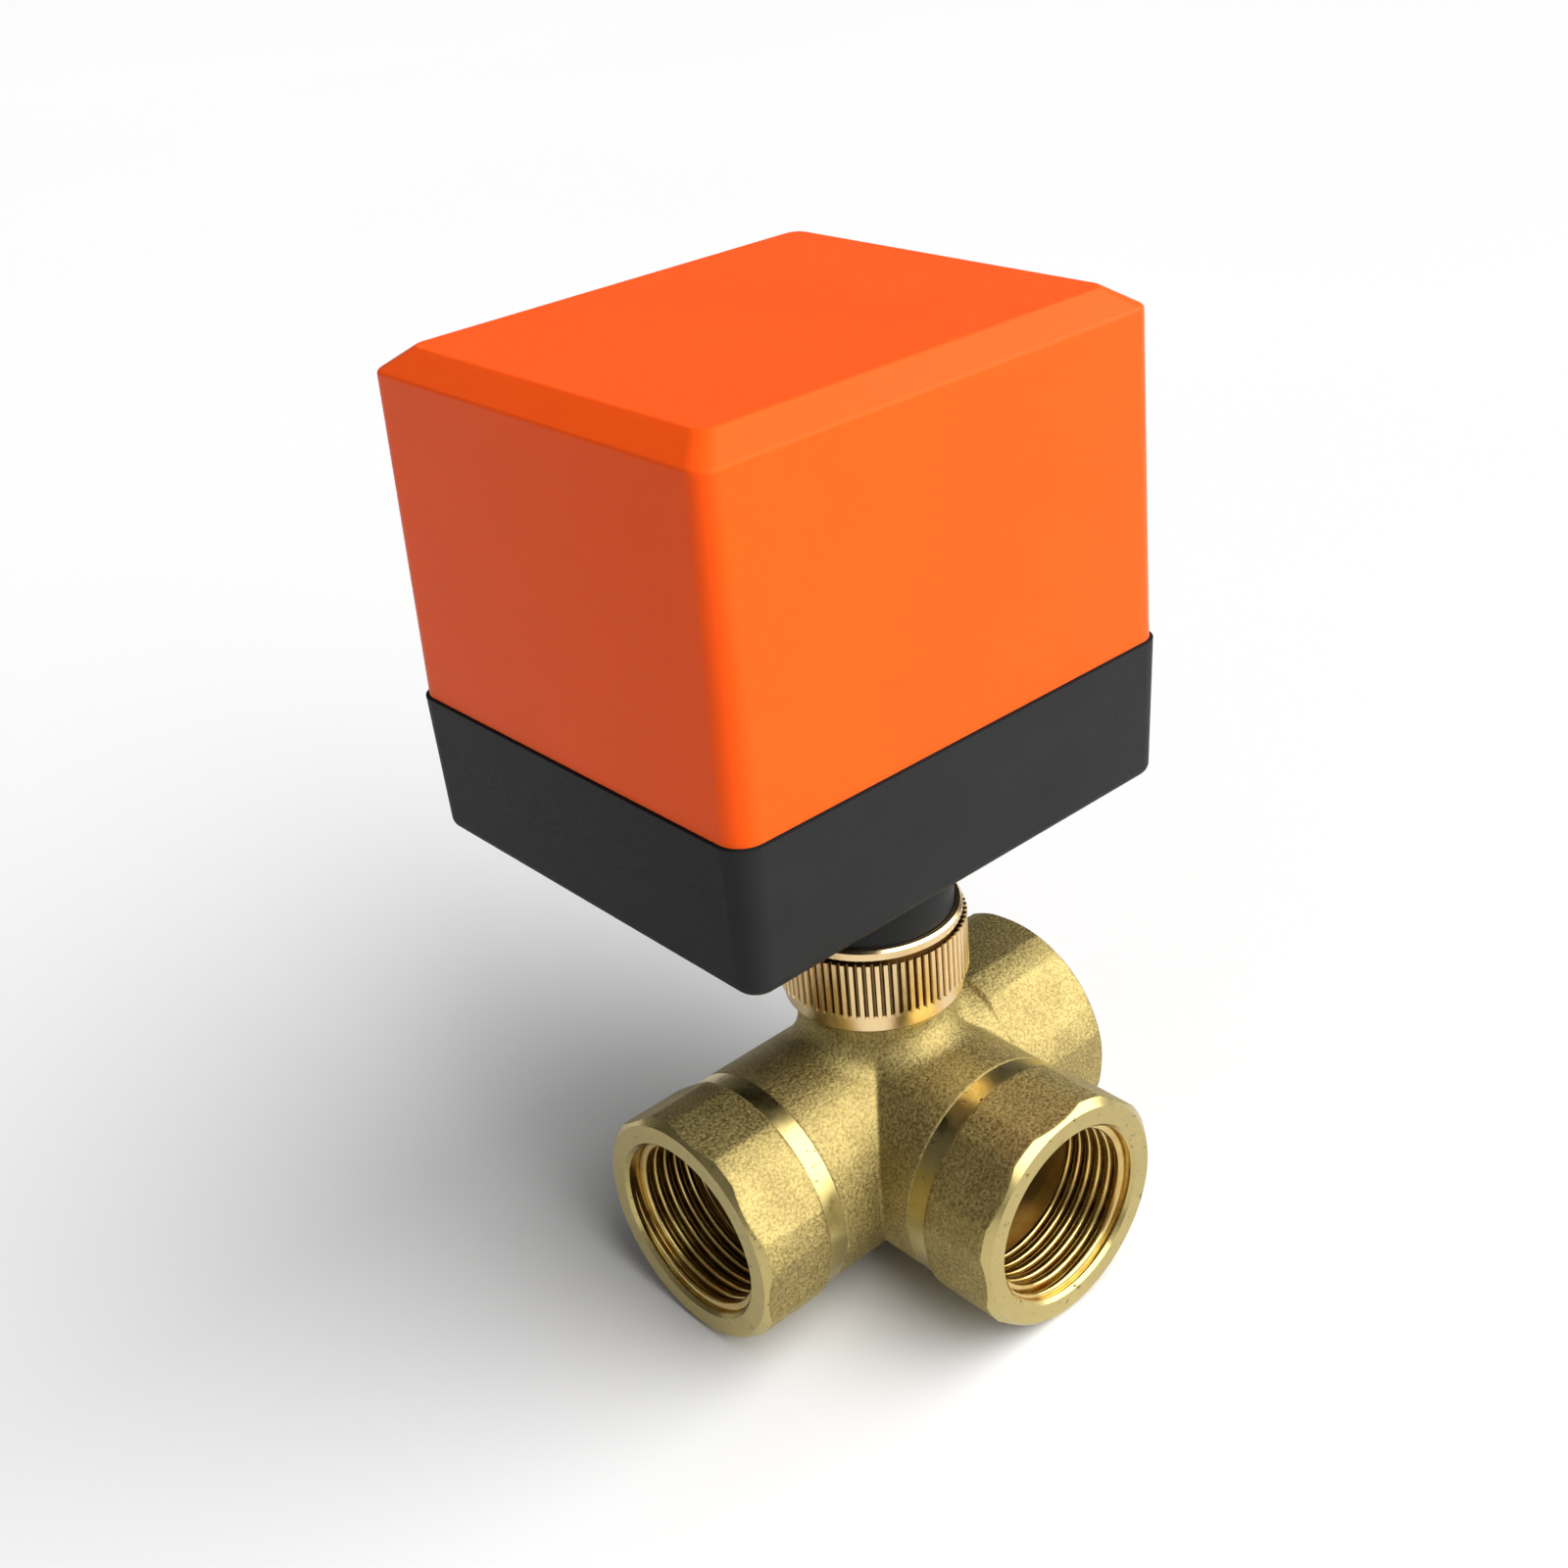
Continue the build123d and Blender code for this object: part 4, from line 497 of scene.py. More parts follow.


# The last finish is painted shade: faces deep in a port are painted dark
BLASTED, TURNED, BAND, THREAD, SHADED_BORE = range(5)
WRENCH_LENGTH = 12 * MM
BAND_RADIUS = 16.7 * MM
BAND_FACING = 0.9
CONE_FACING = 0.3
CONE_LENGTH = 1.3 * MM
MOUTH_RIM = 0.6 * MM
MOUTH_RADIUS = PORT_RADIUS + MOUTH_RIM
BORE_DEPTH = 13.2 * MM
PORT_C_DEPTH = 20 * MM
NECK_FOOT_TOP = 21.0 * MM
STEM_BORE_RADIUS = 8 * MM
# Painted shade: dark brown brass that stands in for the shadow deep inside a port
BORE_PAINTED_SHADE = (0.16, 0.105, 0.04)
PORT_NODES = (
    ("port_a_adaptor", "port_a", "X"),
    ("port_b_adaptor", "port_b", "Y"),
    ("valve_body", "port_c", "X"),
)


def mark_port(chosen, along, faces_along, mouth, hollow):
    """Marks a port's cut end face, its thread and the plain bore behind the thread, which is painted dark as
    shade.
    """
    chosen[(faces_along > CONE_FACING) & (along > -CONE_LENGTH)] = TURNED
    chosen[hollow] = THREAD
    chosen[mouth & (along > -MOUTH_RIM)] = TURNED
    # Painted shade: faces deeper than BORE_DEPTH are painted dark
    chosen[mouth & (along < -BORE_DEPTH)] = SHADED_BORE


def port_finishes(name, port):
    """Which finish each face of a screwed-in port takes."""
    middles, normals = face_values(NODES[name].data)
    mount = MOUNTS[port]
    along, distance, faces_along, faces_away = round_axis(middles, normals, mount["pos_m"], mount["axis"])
    mouth = distance < MOUTH_RADIUS
    chosen = np.full(len(middles), BLASTED)
    chosen[(distance > BAND_RADIUS) & (along < -WRENCH_LENGTH) & (faces_away > BAND_FACING)] = BAND
    mark_port(chosen, along, faces_along, mouth, mouth | (faces_away < 0))
    return chosen


def body_finishes():
    """Which finish each face of the forged body takes."""
    middles, normals = face_values(NODES["valve_body"].data)
    mount = MOUNTS["port_c"]
    along, distance, faces_along, _ = round_axis(middles, normals, mount["pos_m"], mount["axis"])
    height, from_stem, _, _ = round_axis(middles, normals, (STEM_X, 0, 0), (0, 0, 1))
    mouth = (distance < MOUTH_RADIUS) & (along > -PORT_C_DEPTH)
    chosen = np.full(len(middles), BLASTED)
    chosen[(height > NECK_FOOT_TOP) | ((from_stem < STEM_BORE_RADIUS) & (height > 0))] = BAND
    mark_port(chosen, along, faces_along, mouth, mouth)
    return chosen


class VALVE_OT_dress_body(bpy.types.Operator):
    """Put the blasted, turned and polished brass finishes on the body and its ports, with painted shade deep
    in the ports
    """

    bl_idname = "valve.dress_body"
    bl_label = "Dress Body"

    def execute(self, context):
        settings = context.scene.valve_finish
        blasted = blasted_brass(settings)
        thread = thread_brass(settings)
        # Painted shade for the deep bore of each port
        bore = plain_metal("bore_brass", BORE_PAINTED_SHADE, 0.45)
        for name, port, axis in PORT_NODES:
            centre = MOUNTS[port]["pos_m"]
            face = turned_brass(settings, f"turned_{port}", axis, centre, FACE_ROUGHNESS)
            band = turned_brass(settings, f"band_{port}", axis, centre, BAND_ROUGHNESS, BAND_PITCH)
            chosen = body_finishes() if name == "valve_body" else port_finishes(name, port)
            dress_faces(name, [blasted, face, band, thread, bore], chosen)
        seat = moulded("seat_white", (0.82, 0.81, 0.77), 0.38, translucent=0.2)
        dress(["seat_a", "seat_b", "seat_c", "stem_thrust_washer"], seat)
        return {"FINISHED"}


# Geometry trees

class Shape(Tree):
    """A new geometry tree with named inputs."""

    def __init__(self, name, inputs):
        super().__init__(bpy.data.node_groups.new(name, "GeometryNodeTree"))
        face = self.tree.interface
        face.new_socket("Geometry", in_out="INPUT", socket_type="NodeSocketGeometry")
        for label, kind in inputs:
            face.new_socket(label, in_out="INPUT", socket_type=kind)
        face.new_socket("Geometry", in_out="OUTPUT", socket_type="NodeSocketGeometry")
        self.inputs = self.tree.nodes.new("NodeGroupInput").outputs

    def math(self, operation, first, second):
        """Result of a sum on two values."""
        return self.add("ShaderNodeMath", {0: first, 1: second}, operation=operation).outputs[0]

    def vector(self, x, y, z=0.0):
        """Vector from three values."""
        return self.add("ShaderNodeCombineXYZ", {"X": x, "Y": y, "Z": z}).outputs[0]

    def finish(self, geometry):
        """Ends the tree with real geometry and its material."""
        real = self.add("GeometryNodeRealizeInstances", {"Geometry": geometry})
        feeds = {"Geometry": real.outputs[0], "Material": self.inputs["Material"]}
        coloured = self.add("GeometryNodeSetMaterial", feeds)
        self.add("NodeGroupOutput", {0: coloured.outputs[0]})
        return self.tree


def add_object(name, data):
    """New object, linked to the scene."""
    piece = bpy.data.objects.new(name, data)
    bpy.context.scene.collection.objects.link(piece)
    return piece


def grow(name, tree, values, base=None):
    """Plain mesh that a geometry tree makes from the values of its named inputs."""
    source = add_object(f"{name}_source", base or bpy.data.meshes.new(f"{name}_source"))
    modifier = source.modifiers.new("Shape", "NODES")
    modifier.node_group = tree
    sockets = {item.name: item.identifier for item in tree.interface.items_tree if item.in_out == "INPUT"}
    for label, value in values.items():
        modifier[sockets[label]] = value
    evaluated = source.evaluated_get(bpy.context.evaluated_depsgraph_get())
    mesh = bpy.data.meshes.new_from_object(evaluated)
    bpy.data.objects.remove(source)
    if not mesh.polygons:
        raise RuntimeError(f"{name} came out empty")
    return mesh


def settle(name, mesh, place=Matrix.Identity(4), sharp_degrees=35.0):
    """Object at the origin whose place is in its mesh, welded and with smooth faces between sharp edges."""
    work = bmesh.new()
    work.from_mesh(mesh)
    bmesh.ops.remove_doubles(work, verts=work.verts, dist=WELD_DISTANCE)
    bmesh.ops.recalc_face_normals(work, faces=work.faces)
    bmesh.ops.transform(work, matrix=place, verts=work.verts)
    work.to_mesh(mesh)
    work.free()
    mesh.polygons.foreach_set("use_smooth", [True] * len(mesh.polygons))
    mesh.set_sharp_from_angle(angle=radians(sharp_degrees))
    mesh.name = name
    return add_object(name, mesh)


def look_along(origin, axis):
    """Matrix that puts +Z along an axis at an origin."""
    turn = Vector(axis).to_track_quat("Z", "Y").to_matrix().to_4x4()
    return Matrix.Translation(origin) @ turn


# Threads

THREAD_STEPS = 96
THREAD_SINK = 0.05 * MM
THREAD_FOOT = 0.97  # share of the pitch
THREAD_CREST = 0.5  # share of the pitch
THREAD_ROUNDING = 0.4 * MM
THREAD_ROUNDING_STEPS = 3
THREAD_FADE_TURNS = 0.3
THREAD_LEAST_SIZE = 0.02


def thread_shape():
    """Helical ridge round +Z: a trapezoid swept along a spiral, fading out at both ends."""
    sizes = ("Radius", "Pitch", "Turns", "Depth", "Foot", "Crest", "Rounding", "Fade Turns")
    inputs = [(label, "NodeSocketFloat") for label in sizes]
    inputs += [("Steps", "NodeSocketInt"), ("Material", "NodeSocketMaterial")]
    shape = Shape("thread_ridge", inputs)
    given = shape.inputs
    height = shape.math("MULTIPLY", given["Pitch"], given["Turns"])
    spiral = shape.add(
        "GeometryNodeCurveSpiral",
        {
            "Resolution": given["Steps"],
            "Rotations": given["Turns"],
            "Start Radius": given["Radius"],
            "End Radius": given["Radius"],
            "Height": height,
        },
    )
    upright = shape.add("GeometryNodeSetCurveNormal", {"Curve": spiral.outputs[0]}, mode="Z_UP")
    half_foot = shape.math("MULTIPLY", given["Foot"], 0.5)
    half_crest = shape.math("MULTIPLY", given["Crest"], 0.5)
    corners = [
        shape.vector(0.0, half_foot),
        shape.vector(given["Depth"], half_crest),
        shape.vector(given["Depth"], shape.math("MULTIPLY", half_crest, -1.0)),
        shape.vector(0.0, shape.math("MULTIPLY", half_foot, -1.0)),
    ]
    section = shape.add(
        "GeometryNodeCurvePrimitiveQuadrilateral",
        {f"Point {number + 1}": corner for number, corner in enumerate(corners)},
        mode="POINTS",
    )
    rounded = shape.add(
        "GeometryNodeFilletCurve",
        {
            "Curve": section.outputs[0],
            "Count": THREAD_ROUNDING_STEPS,
            "Radius": given["Rounding"],
            "Limit Radius": True,
        },
        mode="POLY",
    )
    share = shape.add("GeometryNodeSplineParameter").outputs["Factor"]
    rise = shape.math("DIVIDE", given["Turns"], given["Fade Turns"])
    from_start = shape.math("MULTIPLY", share, rise)
    from_end = shape.math("MULTIPLY", shape.math("SUBTRACT", 1.0, share), rise)
    fade = shape.math("MINIMUM", shape.math("MINIMUM", from_start, from_end), 1.0)
    swept = shape.add(
        "GeometryNodeCurveToMesh",
        {
            "Curve": upright.outputs[0],
            "Profile Curve": rounded.outputs[0],
            "Scale": shape.math("MAXIMUM", fade, THREAD_LEAST_SIZE),
            "Fill Caps": True,
        },
    )
    return shape.finish(swept.outputs[0])


class VALVE_OT_add_port_threads(bpy.types.Operator):
    """Cut the pipe threads in the three ports as helical ridges"""

    bl_idname = "valve.add_port_threads"
    bl_label = "Add Port Threads"

    def execute(self, context):
        settings = context.scene.valve_thread
        tree = thread_shape()
        material = bpy.data.materials["thread_brass"]
        for port in PORT_NAMES:
            mount = MOUNTS[port]
            room = mount["dims"]["length_mm"] * MM - settings.start - settings.pitch / 2
            values = {
                "Radius": PORT_RADIUS + THREAD_SINK,
                "Pitch": settings.pitch,
                "Turns": room / settings.pitch,
                "Depth": settings.depth + THREAD_SINK,
                "Foot": settings.pitch * THREAD_FOOT,
                "Crest": settings.pitch * THREAD_CREST,
                "Rounding": THREAD_ROUNDING,
                "Fade Turns": THREAD_FADE_TURNS,
                "Steps": THREAD_STEPS,
                "Material": material,
            }
            inwards = -Vector(mount["axis"])
            place = look_along(Vector(mount["pos_m"]) + inwards * settings.start, inwards)
            piece = settle(f"{port}_thread", grow(port, tree, values), place)
            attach(piece, "valve")
        return {"FINISHED"}


# Nut, ball and stem

KNURL_HEIGHTS = (25.3 * MM, 34.8 * MM)
KNURL_INSIDE = 12.8 * MM


def nut_finishes():
    """Which faces of the nut lie in its knurled stretch."""
    middles, normals = face_values(NODES["union_nut"].data)
    height, distance, _, _ = round_axis(middles, normals, (STEM_X, 0, 0), (0, 0, 1))
    return (height > KNURL_HEIGHTS[0]) & (height < KNURL_HEIGHTS[1]) & (distance > KNURL_INSIDE)


class VALVE_OT_dress_union_nut(bpy.types.Operator):
    """Put glossy drawn brass on the knurled union nut and spring steel on its ring"""

    bl_idname = "valve.dress_union_nut"
    bl_label = "Dress Union Nut"

    def execute(self, context):
        settings = context.scene.valve_finish
        finishes = [nut_brass(settings, "nut_brass"), nut_brass(settings, "knurl_brass", shaded_grooves=True)]
        # The knurled stretch gets painted shade in its grooves
        dress_faces("union_nut", finishes, nut_finishes())
        dress(["nut_snap_ring"], plain_metal("blued_spring", (0.32, 0.30, 0.27), 0.32))
        return {"FINISHED"}


class VALVE_OT_dress_ball_and_stem(bpy.types.Operator):
    """Put plating on the ball, turned brass on the stem and rubber on its rings"""

    bl_idname = "valve.dress_ball_and_stem"
    bl_label = "Dress Ball and Stem"

    def execute(self, context):
        dress(["ball"], plain_metal("plated_ball", (0.72, 0.72, 0.70), 0.09))
        settings = context.scene.valve_finish
        dress(["stem"], turned_brass(settings, "turned_stem", "Z", (STEM_X, 0, 0), STEM_ROUGHNESS))
        rubber = moulded("ring_rubber", (0.016, 0.016, 0.017), 0.5)
        dress(["stem_o_ring_lower", "stem_o_ring_upper"], rubber)
        return {"FINISHED"}


# Housing

class VALVE_OT_dress_housing(bpy.types.Operator):
    """Put the orange and black moulded finishes on the cover and the base"""

    bl_idname = "valve.dress_housing"
    bl_label = "Dress Housing"

    def execute(self, context):
        settings = context.scene.valve_finish
        dress(["cover"], cover_plastic(settings))
        dress(["base_housing"], base_plastic(settings))
        dress(["cover_gasket"], moulded("gasket_rubber", (0.012, 0.012, 0.012), 0.6))
        return {"FINISHED"}


INLET_STEPS = 64
INLET_ROUNDING = 0.25 * MM
NECK_INSET = 1.6 * MM
TAIL_INSET = 2.6 * MM
TAIL_LENGTH = 4.0 * MM
LIP_GAP = 0.02 * MM
# Corners of the inlet's ribbed front, in millimetres inside its rim and behind its front
FRONT_CORNERS = ((0.0, 0.5), (0.6, 0.0), (1.8, 0.0), (2.1, 0.5), (2.7, 0.5), (3.0, 0.0))
CHAMFER_WIDTH, CHAMFER_DEPTH = 0.3 * MM, 0.5 * MM
CORNER_STEPS = 4
CORNER_REACH = 0.45  # share of a side that one rounded corner may take


def lathe(profile, steps):
    """Closed mesh turned about +Z from a closed loop of (radius, height) corners."""
    points = []
    faces = []
    count = len(profile)
    for step in range(steps):
        angle = tau * step / steps
        points += [(radius * cos(angle), radius * sin(angle), height) for radius, height in profile]
        ahead = (step + 1) % steps
        for index in range(count):
            after = (index + 1) % count
            faces.append(
                (step * count + index, ahead * count + index, ahead * count + after, step * count + after)
            )
    mesh = bpy.data.meshes.new("turned")
    mesh.from_pydata(points, [], faces)
    return mesh


def rounded_corners(corners, radius):
    """Closed loop of corners with each one rounded by short chords of an arc."""
    loop = []
    count = len(corners)
    for index, corner in enumerate(corners):
        here = Vector(corner)
        before = Vector(corners[index - 1]) - here
        after = Vector(corners[(index + 1) % count]) - here
        reach = min(radius, before.length * CORNER_REACH, after.length * CORNER_REACH)
        start = here + before.normalized() * reach
        end = here + after.normalized() * reach
        for step in range(CORNER_STEPS + 1):
            share = step / CORNER_STEPS
            bent = start.lerp(here, share).lerp(here.lerp(end, share), share)
            loop.append((bent.x, bent.y))
    return loop


class VALVE_OT_add_cable_inlet(bpy.types.Operator):
    """Replace the plain cable inlet by a moulded one with rounded rims and ribs"""

    bl_idname = "valve.add_cable_inlet"
    bl_label = "Add Cable Inlet"

    def execute(self, context):
        low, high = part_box("cable_grommet")
        outer = (high.x - low.x) / 2
        bore = MOUNTS["cable_inlet"]["dims"]["r_mm"] * MM
        front = high.y
        back = low.y
        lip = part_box("base_housing")[1].y - LIP_GAP
        corners = [
            (bore, back),
            (outer - TAIL_INSET, back),
            (outer - NECK_INSET, lip - TAIL_LENGTH),
            (outer - NECK_INSET, lip),
            (outer, lip),
        ]
        corners += [(outer - inset * MM, front - drop * MM) for inset, drop in FRONT_CORNERS]
        corners += [(bore + CHAMFER_WIDTH, front), (bore, front - CHAMFER_DEPTH)]
        profile = rounded_corners([(radius, height - front) for radius, height in corners], INLET_ROUNDING)
        centre = Vector(((low.x + high.x) / 2, front, (low.z + high.z) / 2))
        piece = settle("cable_inlet_moulding", lathe(profile, INLET_STEPS), look_along(centre, (0, 1, 0)))
        piece.data.materials.append(moulded("inlet_rubber", (0.020, 0.020, 0.021), 0.55))
        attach(piece, "actuator")
        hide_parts("cable_grommet")
        return {"FINISHED"}


# Screws

SCREW_STEPS = 32
SCREW_TURN = 0.3  # radians
# Outline of a head from its top to its underside, in shares of its radius and its height
HEAD_OUTLINE = ((0.0, 1.0), (0.55, 1.0), (0.85, 0.86), (1.0, 0.45), (1.0, 0.0))
TIP_RADIUS, TIP_LENGTH = 0.5, 0.6  # shares of the shank's radius
CROSS_ARM, CROSS_HALF_WIDTH = 0.62, 0.11  # shares of the head's radius
CROSS_TOP, CROSS_DEPTH = 1.2, 0.75  # shares of the head's height
CROSS_TAPER = 0.35


def finished_mesh(work, name):
    """Mesh of what was built, with its faces outwards."""
    bmesh.ops.recalc_face_normals(work, faces=work.faces)
    mesh = bpy.data.meshes.new(name)
    work.to_mesh(mesh)
    work.free()
    return mesh


def screw_mesh(radius, height, shank, length):
    """Pan head screw without its recess: the head's underside at the origin, the shank along -Z."""
    profile = [(radius * across, height * up) for across, up in HEAD_OUTLINE]
    profile += [(shank, 0.0), (shank, shank * TIP_LENGTH - length)]
    profile += [(shank * TIP_RADIUS, -length), (0.0, -length)]
    angles = [tau * step / SCREW_STEPS for step in range(SCREW_STEPS)]
    work = bmesh.new()
    rings = []
    for size, level in profile:
        if size == 0.0:
            rings.append([work.verts.new((0.0, 0.0, level))])
            continue
        rings.append([work.verts.new((size * cos(angle), size * sin(angle), level)) for angle in angles])
    for upper, lower in zip(rings, rings[1:]):
        for step in range(SCREW_STEPS):
            ahead = (step + 1) % SCREW_STEPS
            if len(upper) == 1:
                work.faces.new((upper[0], lower[step], lower[ahead]))
            elif len(lower) == 1:
                work.faces.new((upper[ahead], upper[step], lower[0]))
            else:
                work.faces.new((upper[ahead], upper[step], lower[step], lower[ahead]))
    return finished_mesh(work, "screw")


def cross_mesh(radius, height):
    """Tapering cross that cuts the driver's recess into a screw head."""
    work = bmesh.new()
    arm = radius * CROSS_ARM
    half = radius * CROSS_HALF_WIDTH
    depth = height * CROSS_DEPTH
    for turn in (0.0, pi / 2):
        corners = []
        for level, share in ((height * CROSS_TOP, 1.0), (height - depth, CROSS_TAPER)):
            for x, y in ((-1, -1), (1, -1), (1, 1), (-1, 1)):
                point = Vector((x * arm * share, y * half, level))
                corners.append(work.verts.new(Matrix.Rotation(turn, 4, "Z") @ point))
        low, high = corners[4:], corners[:4]
        work.faces.new(high)
        work.faces.new(low[::-1])
        for side in range(4):
            ahead = (side + 1) % 4
            work.faces.new((high[ahead], high[side], low[side], low[ahead]))
    return finished_mesh(work, "cross")


def cut(mesh, tool):
    """Mesh with a tool's shape taken out of it."""
    part = add_object("cut_part", mesh)
    knife = add_object("cut_tool", tool)
    boolean = part.modifiers.new("Cut", "BOOLEAN")
    boolean.operation = "DIFFERENCE"
    boolean.solver = "EXACT"
    boolean.use_self = True
    boolean.object = knife
    result = bpy.data.meshes.new_from_object(part.evaluated_get(bpy.context.evaluated_depsgraph_get()))
    for piece in (part, knife):
        bpy.data.objects.remove(piece)
    return result


def screw_corners(name):
    """Corners of each screw of a node, one array for each screw."""
    work = bmesh.new()
    work.from_mesh(NODES[name].data)
    bmesh.ops.remove_doubles(work, verts=work.verts, dist=WELD_DISTANCE)
    left = set(work.verts)
    found = []
    for start in work.verts:
        if start not in left:
            continue
        left.remove(start)
        pending = [start]
        island = [start]
        while pending:
            for edge in pending.pop().link_edges:
                for vertex in edge.verts:
                    if vertex in left:
                        left.remove(vertex)
                        pending.append(vertex)
                        island.append(vertex)
        found.append(np.array([vertex.co for vertex in island]))
    work.free()
    return found


def screw_sizes(corners, way):
    """Head radius and height, shank radius and length, and level of the head's underside."""
    levels = corners[:, 2] * way
    middle = (corners.min(0) + corners.max(0)) / 2
    distance = np.linalg.norm(corners[:, :2] - middle[:2], axis=1)
    radius = distance.max()
    shank = distance[levels < levels.min() + SAME_PLACE].max()
    underside = levels[distance > radius - SAME_PLACE].min()
    return radius, levels.max() - underside, shank, underside - levels.min(), underside


def screw_shape():
    """Copies of one screw on the points of a mesh."""
    shape = Shape(
        "screw_copies",
        [("Screw", "NodeSocketObject"), ("Turn", "NodeSocketRotation"), ("Material", "NodeSocketMaterial")],
    )
    screw = shape.add("GeometryNodeObjectInfo", {"Object": shape.inputs["Screw"]})
    copies = shape.add(
        "GeometryNodeInstanceOnPoints",
        {
            "Points": shape.inputs["Geometry"],
            "Instance": screw.outputs["Geometry"],
            "Rotation": shape.inputs["Turn"],
        },
    )
    return shape.finish(copies.outputs[0])


SCREW_SETS = (
    ("cover_screws", False),
    ("plate_screws", True),
    ("motor_screws", True),
    ("switch_screws", True),
    ("board_screws", True),
)


class VALVE_OT_add_screws(bpy.types.Operator):
    """Replace the plain screws by pan head screws with cross recesses"""

    bl_idname = "valve.add_screws"
    bl_label = "Add Screws"

    def execute(self, context):
        tree = screw_shape()
        steel = plain_metal("screw_steel", (0.60, 0.60, 0.58), 0.28)
        for name, head_up in SCREW_SETS:
            screws = screw_corners(name)
            way = 1.0 if head_up else -1.0
            radius, height, shank, length, underside = screw_sizes(screws[0], way)
            screw = cut(screw_mesh(radius, height, shank, length), cross_mesh(radius, height))
            template = add_object("screw_template", screw)
            points = bpy.data.meshes.new("screw_points")
            middles = [(corners.min(0) + corners.max(0)) / 2 for corners in screws]
            points.from_pydata([(x, y, underside * way) for x, y, _ in middles], [], [])
            turn = Euler((0.0 if head_up else pi, 0.0, SCREW_TURN))
            values = {"Screw": template, "Turn": turn, "Material": steel}
            piece = settle(f"{name}_crossed", grow(name, tree, values, points), sharp_degrees=30.0)
            bpy.data.objects.remove(template)
            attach(piece, "actuator")
            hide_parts(name)
        return {"FINISHED"}


# Inside of the actuator

BRUSHED = 6.0  # how much finer the brushing is across its lines than along them
SHEET_ZINC = (0.62, 0.64, 0.66)
SHEET_ROUGHNESS = 0.34


class VALVE_OT_dress_gear_train(bpy.types.Operator):
    """Put plastic on the gears and bush and steel on the shafts and plate"""

    bl_idname = "valve.dress_gear_train"
    bl_label = "Dress Gear Train"

    def execute(self, context):
        gears = ["output_gear", "compound_gear_slow", "compound_gear_fast", "motor_pinion", "neck_bush"]
        dress(gears, moulded("gear_white", (0.72, 0.70, 0.63), 0.4, translucent=0.15))
        shafts = ["output_shaft", "gear_axles", "motor_shaft"]
        dress(shafts, plain_metal("ground_steel", (0.58, 0.58, 0.57), 0.2))
        dress(["gear_plate"], plain_metal("zinc_sheet", SHEET_ZINC, SHEET_ROUGHNESS, (1.0, BRUSHED, 1.0)))
        return {"FINISHED"}


class VALVE_OT_dress_motor(bpy.types.Operator):
    """Put zinc plate on the motor's can, copper on its winding and dark magnet on its rotor"""

    bl_idname = "valve.dress_motor"
    bl_label = "Dress Motor"

    def execute(self, context):
        low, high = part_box("motor_can")
        centre = (low + high) / 2
        plated = plain_metal("plated_can", (0.60, 0.61, 0.60), 0.26, (1.0, 1.0, BRUSHED))
        dress(["motor_can", "motor_end_plate"], plated)
        dress(["motor_coil"], wound_copper(centre))
        dress(["motor_rotor"], moulded("magnet_dark", (0.045, 0.043, 0.042), 0.5))
        return {"FINISHED"}


class VALVE_OT_dress_switches(bpy.types.Operator):
    """Put plastic on the switches and cams and spring steel on the levers"""

    bl_idname = "valve.dress_switches"
    bl_label = "Dress Switches"

    def execute(self, context):
        dress(["cam_lower", "cam_upper"], moulded("cam_black", (0.03, 0.03, 0.035), 0.4))
        cases = ["microswitch_lower", "microswitch_upper", "switch_spacer"]
        dress(cases, moulded("switch_black", (0.022, 0.022, 0.024), 0.42))
        zinc = plain_metal("bracket_zinc", SHEET_ZINC, SHEET_ROUGHNESS, (BRUSHED, 1.0, 1.0))
        dress(["switch_bracket"], zinc)
        levers = ["switch_lever_lower", "switch_lever_upper"]
        dress(levers, plain_metal("lever_spring", (0.66, 0.66, 0.64), 0.22))
        buttons = ["switch_button_lower", "switch_button_upper"]
        dress(buttons, moulded("button_red", (0.55, 0.03, 0.02), 0.36))
        return {"FINISHED"}


class VALVE_OT_dress_electrics(bpy.types.Operator):
    """Put finishes on the circuit board, its pillars and what stands on it"""

    bl_idname = "valve.dress_electrics"
    bl_label = "Dress Electrics"

    def execute(self, context):
        dress(["circuit_board"], board_laminate())
        dress(["board_pillars"], plain_metal("pillar_brass", (0.78, 0.64, 0.30), 0.24))
        dress(["terminal_block"], moulded("terminal_green", (0.03, 0.26, 0.10), 0.4))
        dress(["capacitor"], moulded("capacitor_yellow", (0.70, 0.42, 0.05), 0.36))
        dress(["relay"], moulded("relay_blue", (0.03, 0.12, 0.45), 0.34))
        return {"FINISHED"}


# Studio

KEY_DIRECTION = (0.42, -0.66, 0.62)  # where the key light comes from
ROOM_FRONT = (0.1, -0.8, -0.45)  # where the room is brightest
BACKDROP = 0.97  # brightness that the camera sees behind the valve
FLOOR_SIZE = 8.0  # metres
FLOOR_CLOUDS = 0.4  # metres
FLOOR_GREY = (0.69, 0.69, 0.69)
FLOOR_PALE = (0.71, 0.71, 0.71)
SENSOR_WIDTH = 36.0  # millimetres
CAMERA_NEAR, CAMERA_FAR = 0.01, 50.0  # metres


def key_light(strength, spread):
    """Wide soft light from the right, in front and above."""
    lamp = bpy.data.lights.new("key_light", "SUN")
    lamp.energy = strength
    lamp.angle = spread
    light = add_object("key_light", lamp)
    light.rotation_mode = "QUATERNION"
    light.rotation_quaternion = (-Vector(KEY_DIRECTION)).to_track_quat("-Z", "Y")


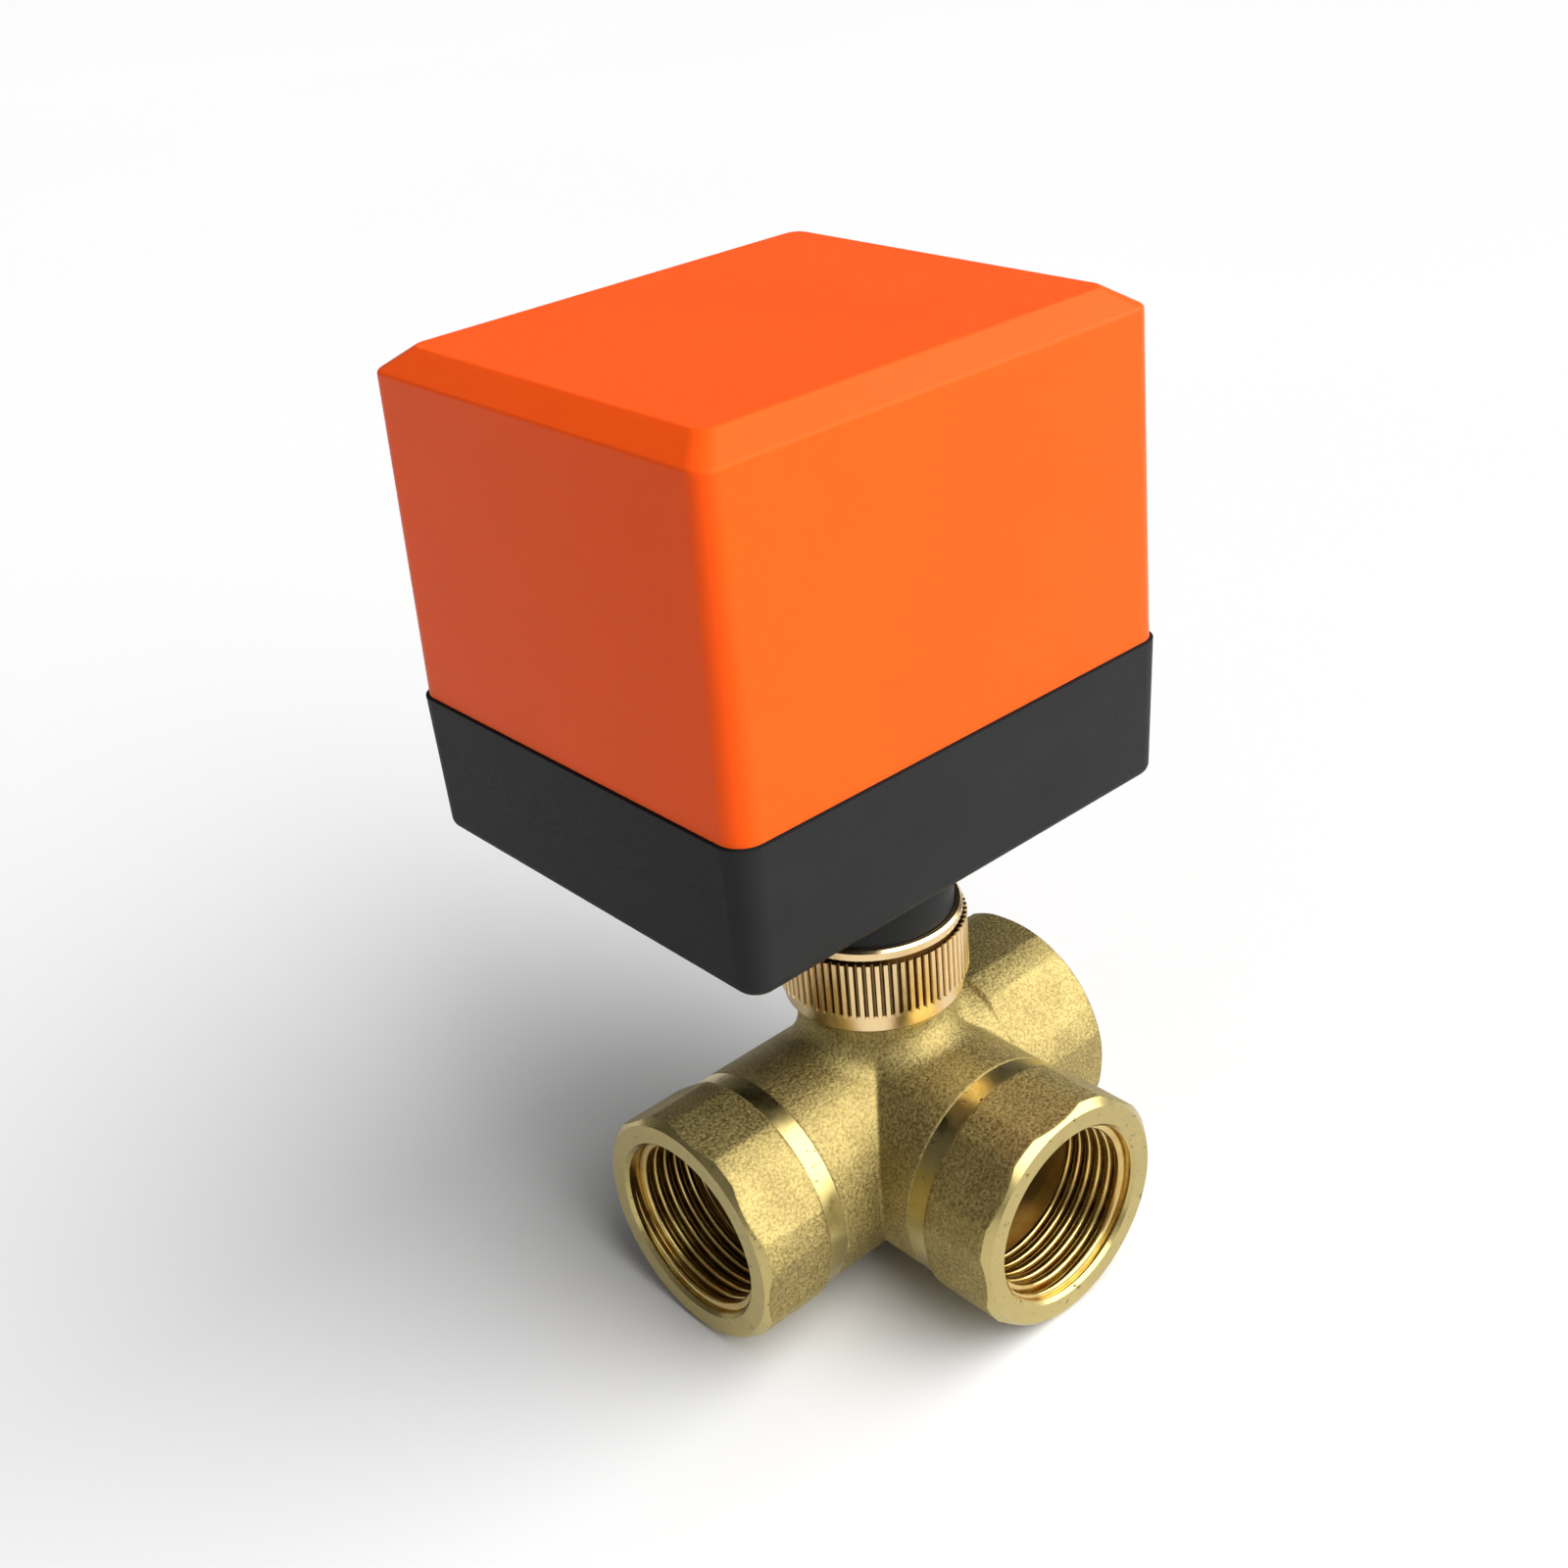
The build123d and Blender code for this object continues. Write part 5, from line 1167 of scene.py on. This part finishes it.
def pale_floor():
    """Large plain floor just under the valve."""
    half = FLOOR_SIZE / 2
    mesh = bpy.data.meshes.new("floor")
    corners = [(-half, -half), (half, -half), (half, half), (-half, half)]
    mesh.from_pydata([(x, y, FLOOR_HEIGHT) for x, y in corners], [], [(0, 1, 2, 3)])
    finish = Finish("floor_paint")
    clouds = finish.noise(FLOOR_CLOUDS, detail=1.0)
    colour = finish.blend(clouds, tone(FLOOR_GREY), tone(FLOOR_PALE))
    finish.set(Base_Color=colour, Roughness=0.8, Specular_IOR_Level=0.1)
    mesh.materials.append(finish.material)
    floor = add_object("floor", mesh)


def room_light(front, back):
    """Pale light from all round, brighter in front and below, with a plain backdrop."""
    world = bpy.data.worlds.new("room")
    world.use_nodes = True
    room = Tree(world.node_tree)
    place = room.add("ShaderNodeTexCoord").outputs["Generated"]
    brightest = Vector(ROOM_FRONT).normalized()
    towards = room.add("ShaderNodeVectorMath", {0: place, 1: brightest}, operation="DOT_PRODUCT")
    light = room.spread(towards.outputs["Value"], -1.0, 1.0, back, front)
    seen = room.add("ShaderNodeLightPath").outputs["Is Camera Ray"]
    backdrop = room.add("ShaderNodeMix", {"Factor": seen, "A": light, "B": BACKDROP})
    background = room.tree.nodes["Background"]
    room.feed(background.inputs["Color"], (1.0, 1.0, 1.0, 1.0))
    room.feed(background.inputs["Strength"], backdrop.outputs["Result"])
    bpy.context.scene.world = world


class VALVE_OT_set_stage(bpy.types.Operator):
    """Set up the pale floor, the soft studio light and the camera"""

    bl_idname = "valve.set_stage"
    bl_label = "Set Stage"

    def execute(self, context):
        settings = context.scene.valve_studio
        pale_floor()
        room_light(settings.room_front, settings.room_back)
        key_light(settings.key_strength, settings.key_spread)
        camera = bpy.data.cameras.new("camera")
        camera.sensor_width = SENSOR_WIDTH
        camera.lens = settings.lens
        camera.clip_start = CAMERA_NEAR
        camera.clip_end = CAMERA_FAR
        viewer = add_object("camera", camera)
        turn = Matrix.Rotation(-settings.camera_azimuth, 4, "Z")
        tilt = Matrix.Rotation(pi / 2 - settings.camera_elevation, 4, "X")
        roll = Matrix.Rotation(-settings.camera_roll, 4, "Z")
        viewer.matrix_world = Matrix.Translation(settings.camera_place) @ turn @ tilt @ roll
        context.scene.camera = viewer
        context.scene.view_settings.view_transform = "Standard"
        return {"FINISHED"}


class VALVE_PT_panel(bpy.types.Panel):
    """Steps that dress the valve, in order"""

    bl_idname = "VALVE_PT_panel"
    bl_label = "Ball Valve"
    bl_space_type = "VIEW_3D"
    bl_region_type = "UI"
    bl_category = "Ball Valve"

    def draw(self, context):
        layout = self.layout
        for group in (context.scene.valve_finish, context.scene.valve_thread, context.scene.valve_studio):
            column = layout.column(align=True)
            for name in group.__annotations__:
                column.prop(group, name)
        for step in STEPS:
            layout.operator(step.bl_idname)


STEPS = (
    VALVE_OT_dress_body,
    VALVE_OT_add_port_threads,
    VALVE_OT_dress_union_nut,
    VALVE_OT_dress_ball_and_stem,
    VALVE_OT_dress_housing,
    VALVE_OT_add_cable_inlet,
    VALVE_OT_add_screws,
    VALVE_OT_dress_gear_train,
    VALVE_OT_dress_motor,
    VALVE_OT_dress_switches,
    VALVE_OT_dress_electrics,
    VALVE_OT_set_stage,
)
SETTINGS = (
    ("valve_finish", FinishSettings),
    ("valve_thread", ThreadSettings),
    ("valve_studio", StudioSettings),
)


def register():
    """Registers the settings, the steps and the panel."""
    for name, group in SETTINGS:
        bpy.utils.register_class(group)
        setattr(bpy.types.Scene, name, bpy.props.PointerProperty(type=group))
    for step in (*STEPS, VALVE_PT_panel):
        bpy.utils.register_class(step)


def unregister():
    """Takes the panel, the steps and the settings away again."""
    for step in (VALVE_PT_panel, *reversed(STEPS)):
        bpy.utils.unregister_class(step)
    for name, group in reversed(SETTINGS):
        delattr(bpy.types.Scene, name)
        bpy.utils.unregister_class(group)


def main():
    """Dresses the valve step by step."""
    register()
    for step in STEPS:
        group, action = step.bl_idname.split(".")
        getattr(getattr(bpy.ops, group), action)()


if __name__ == "__main__":
    main()
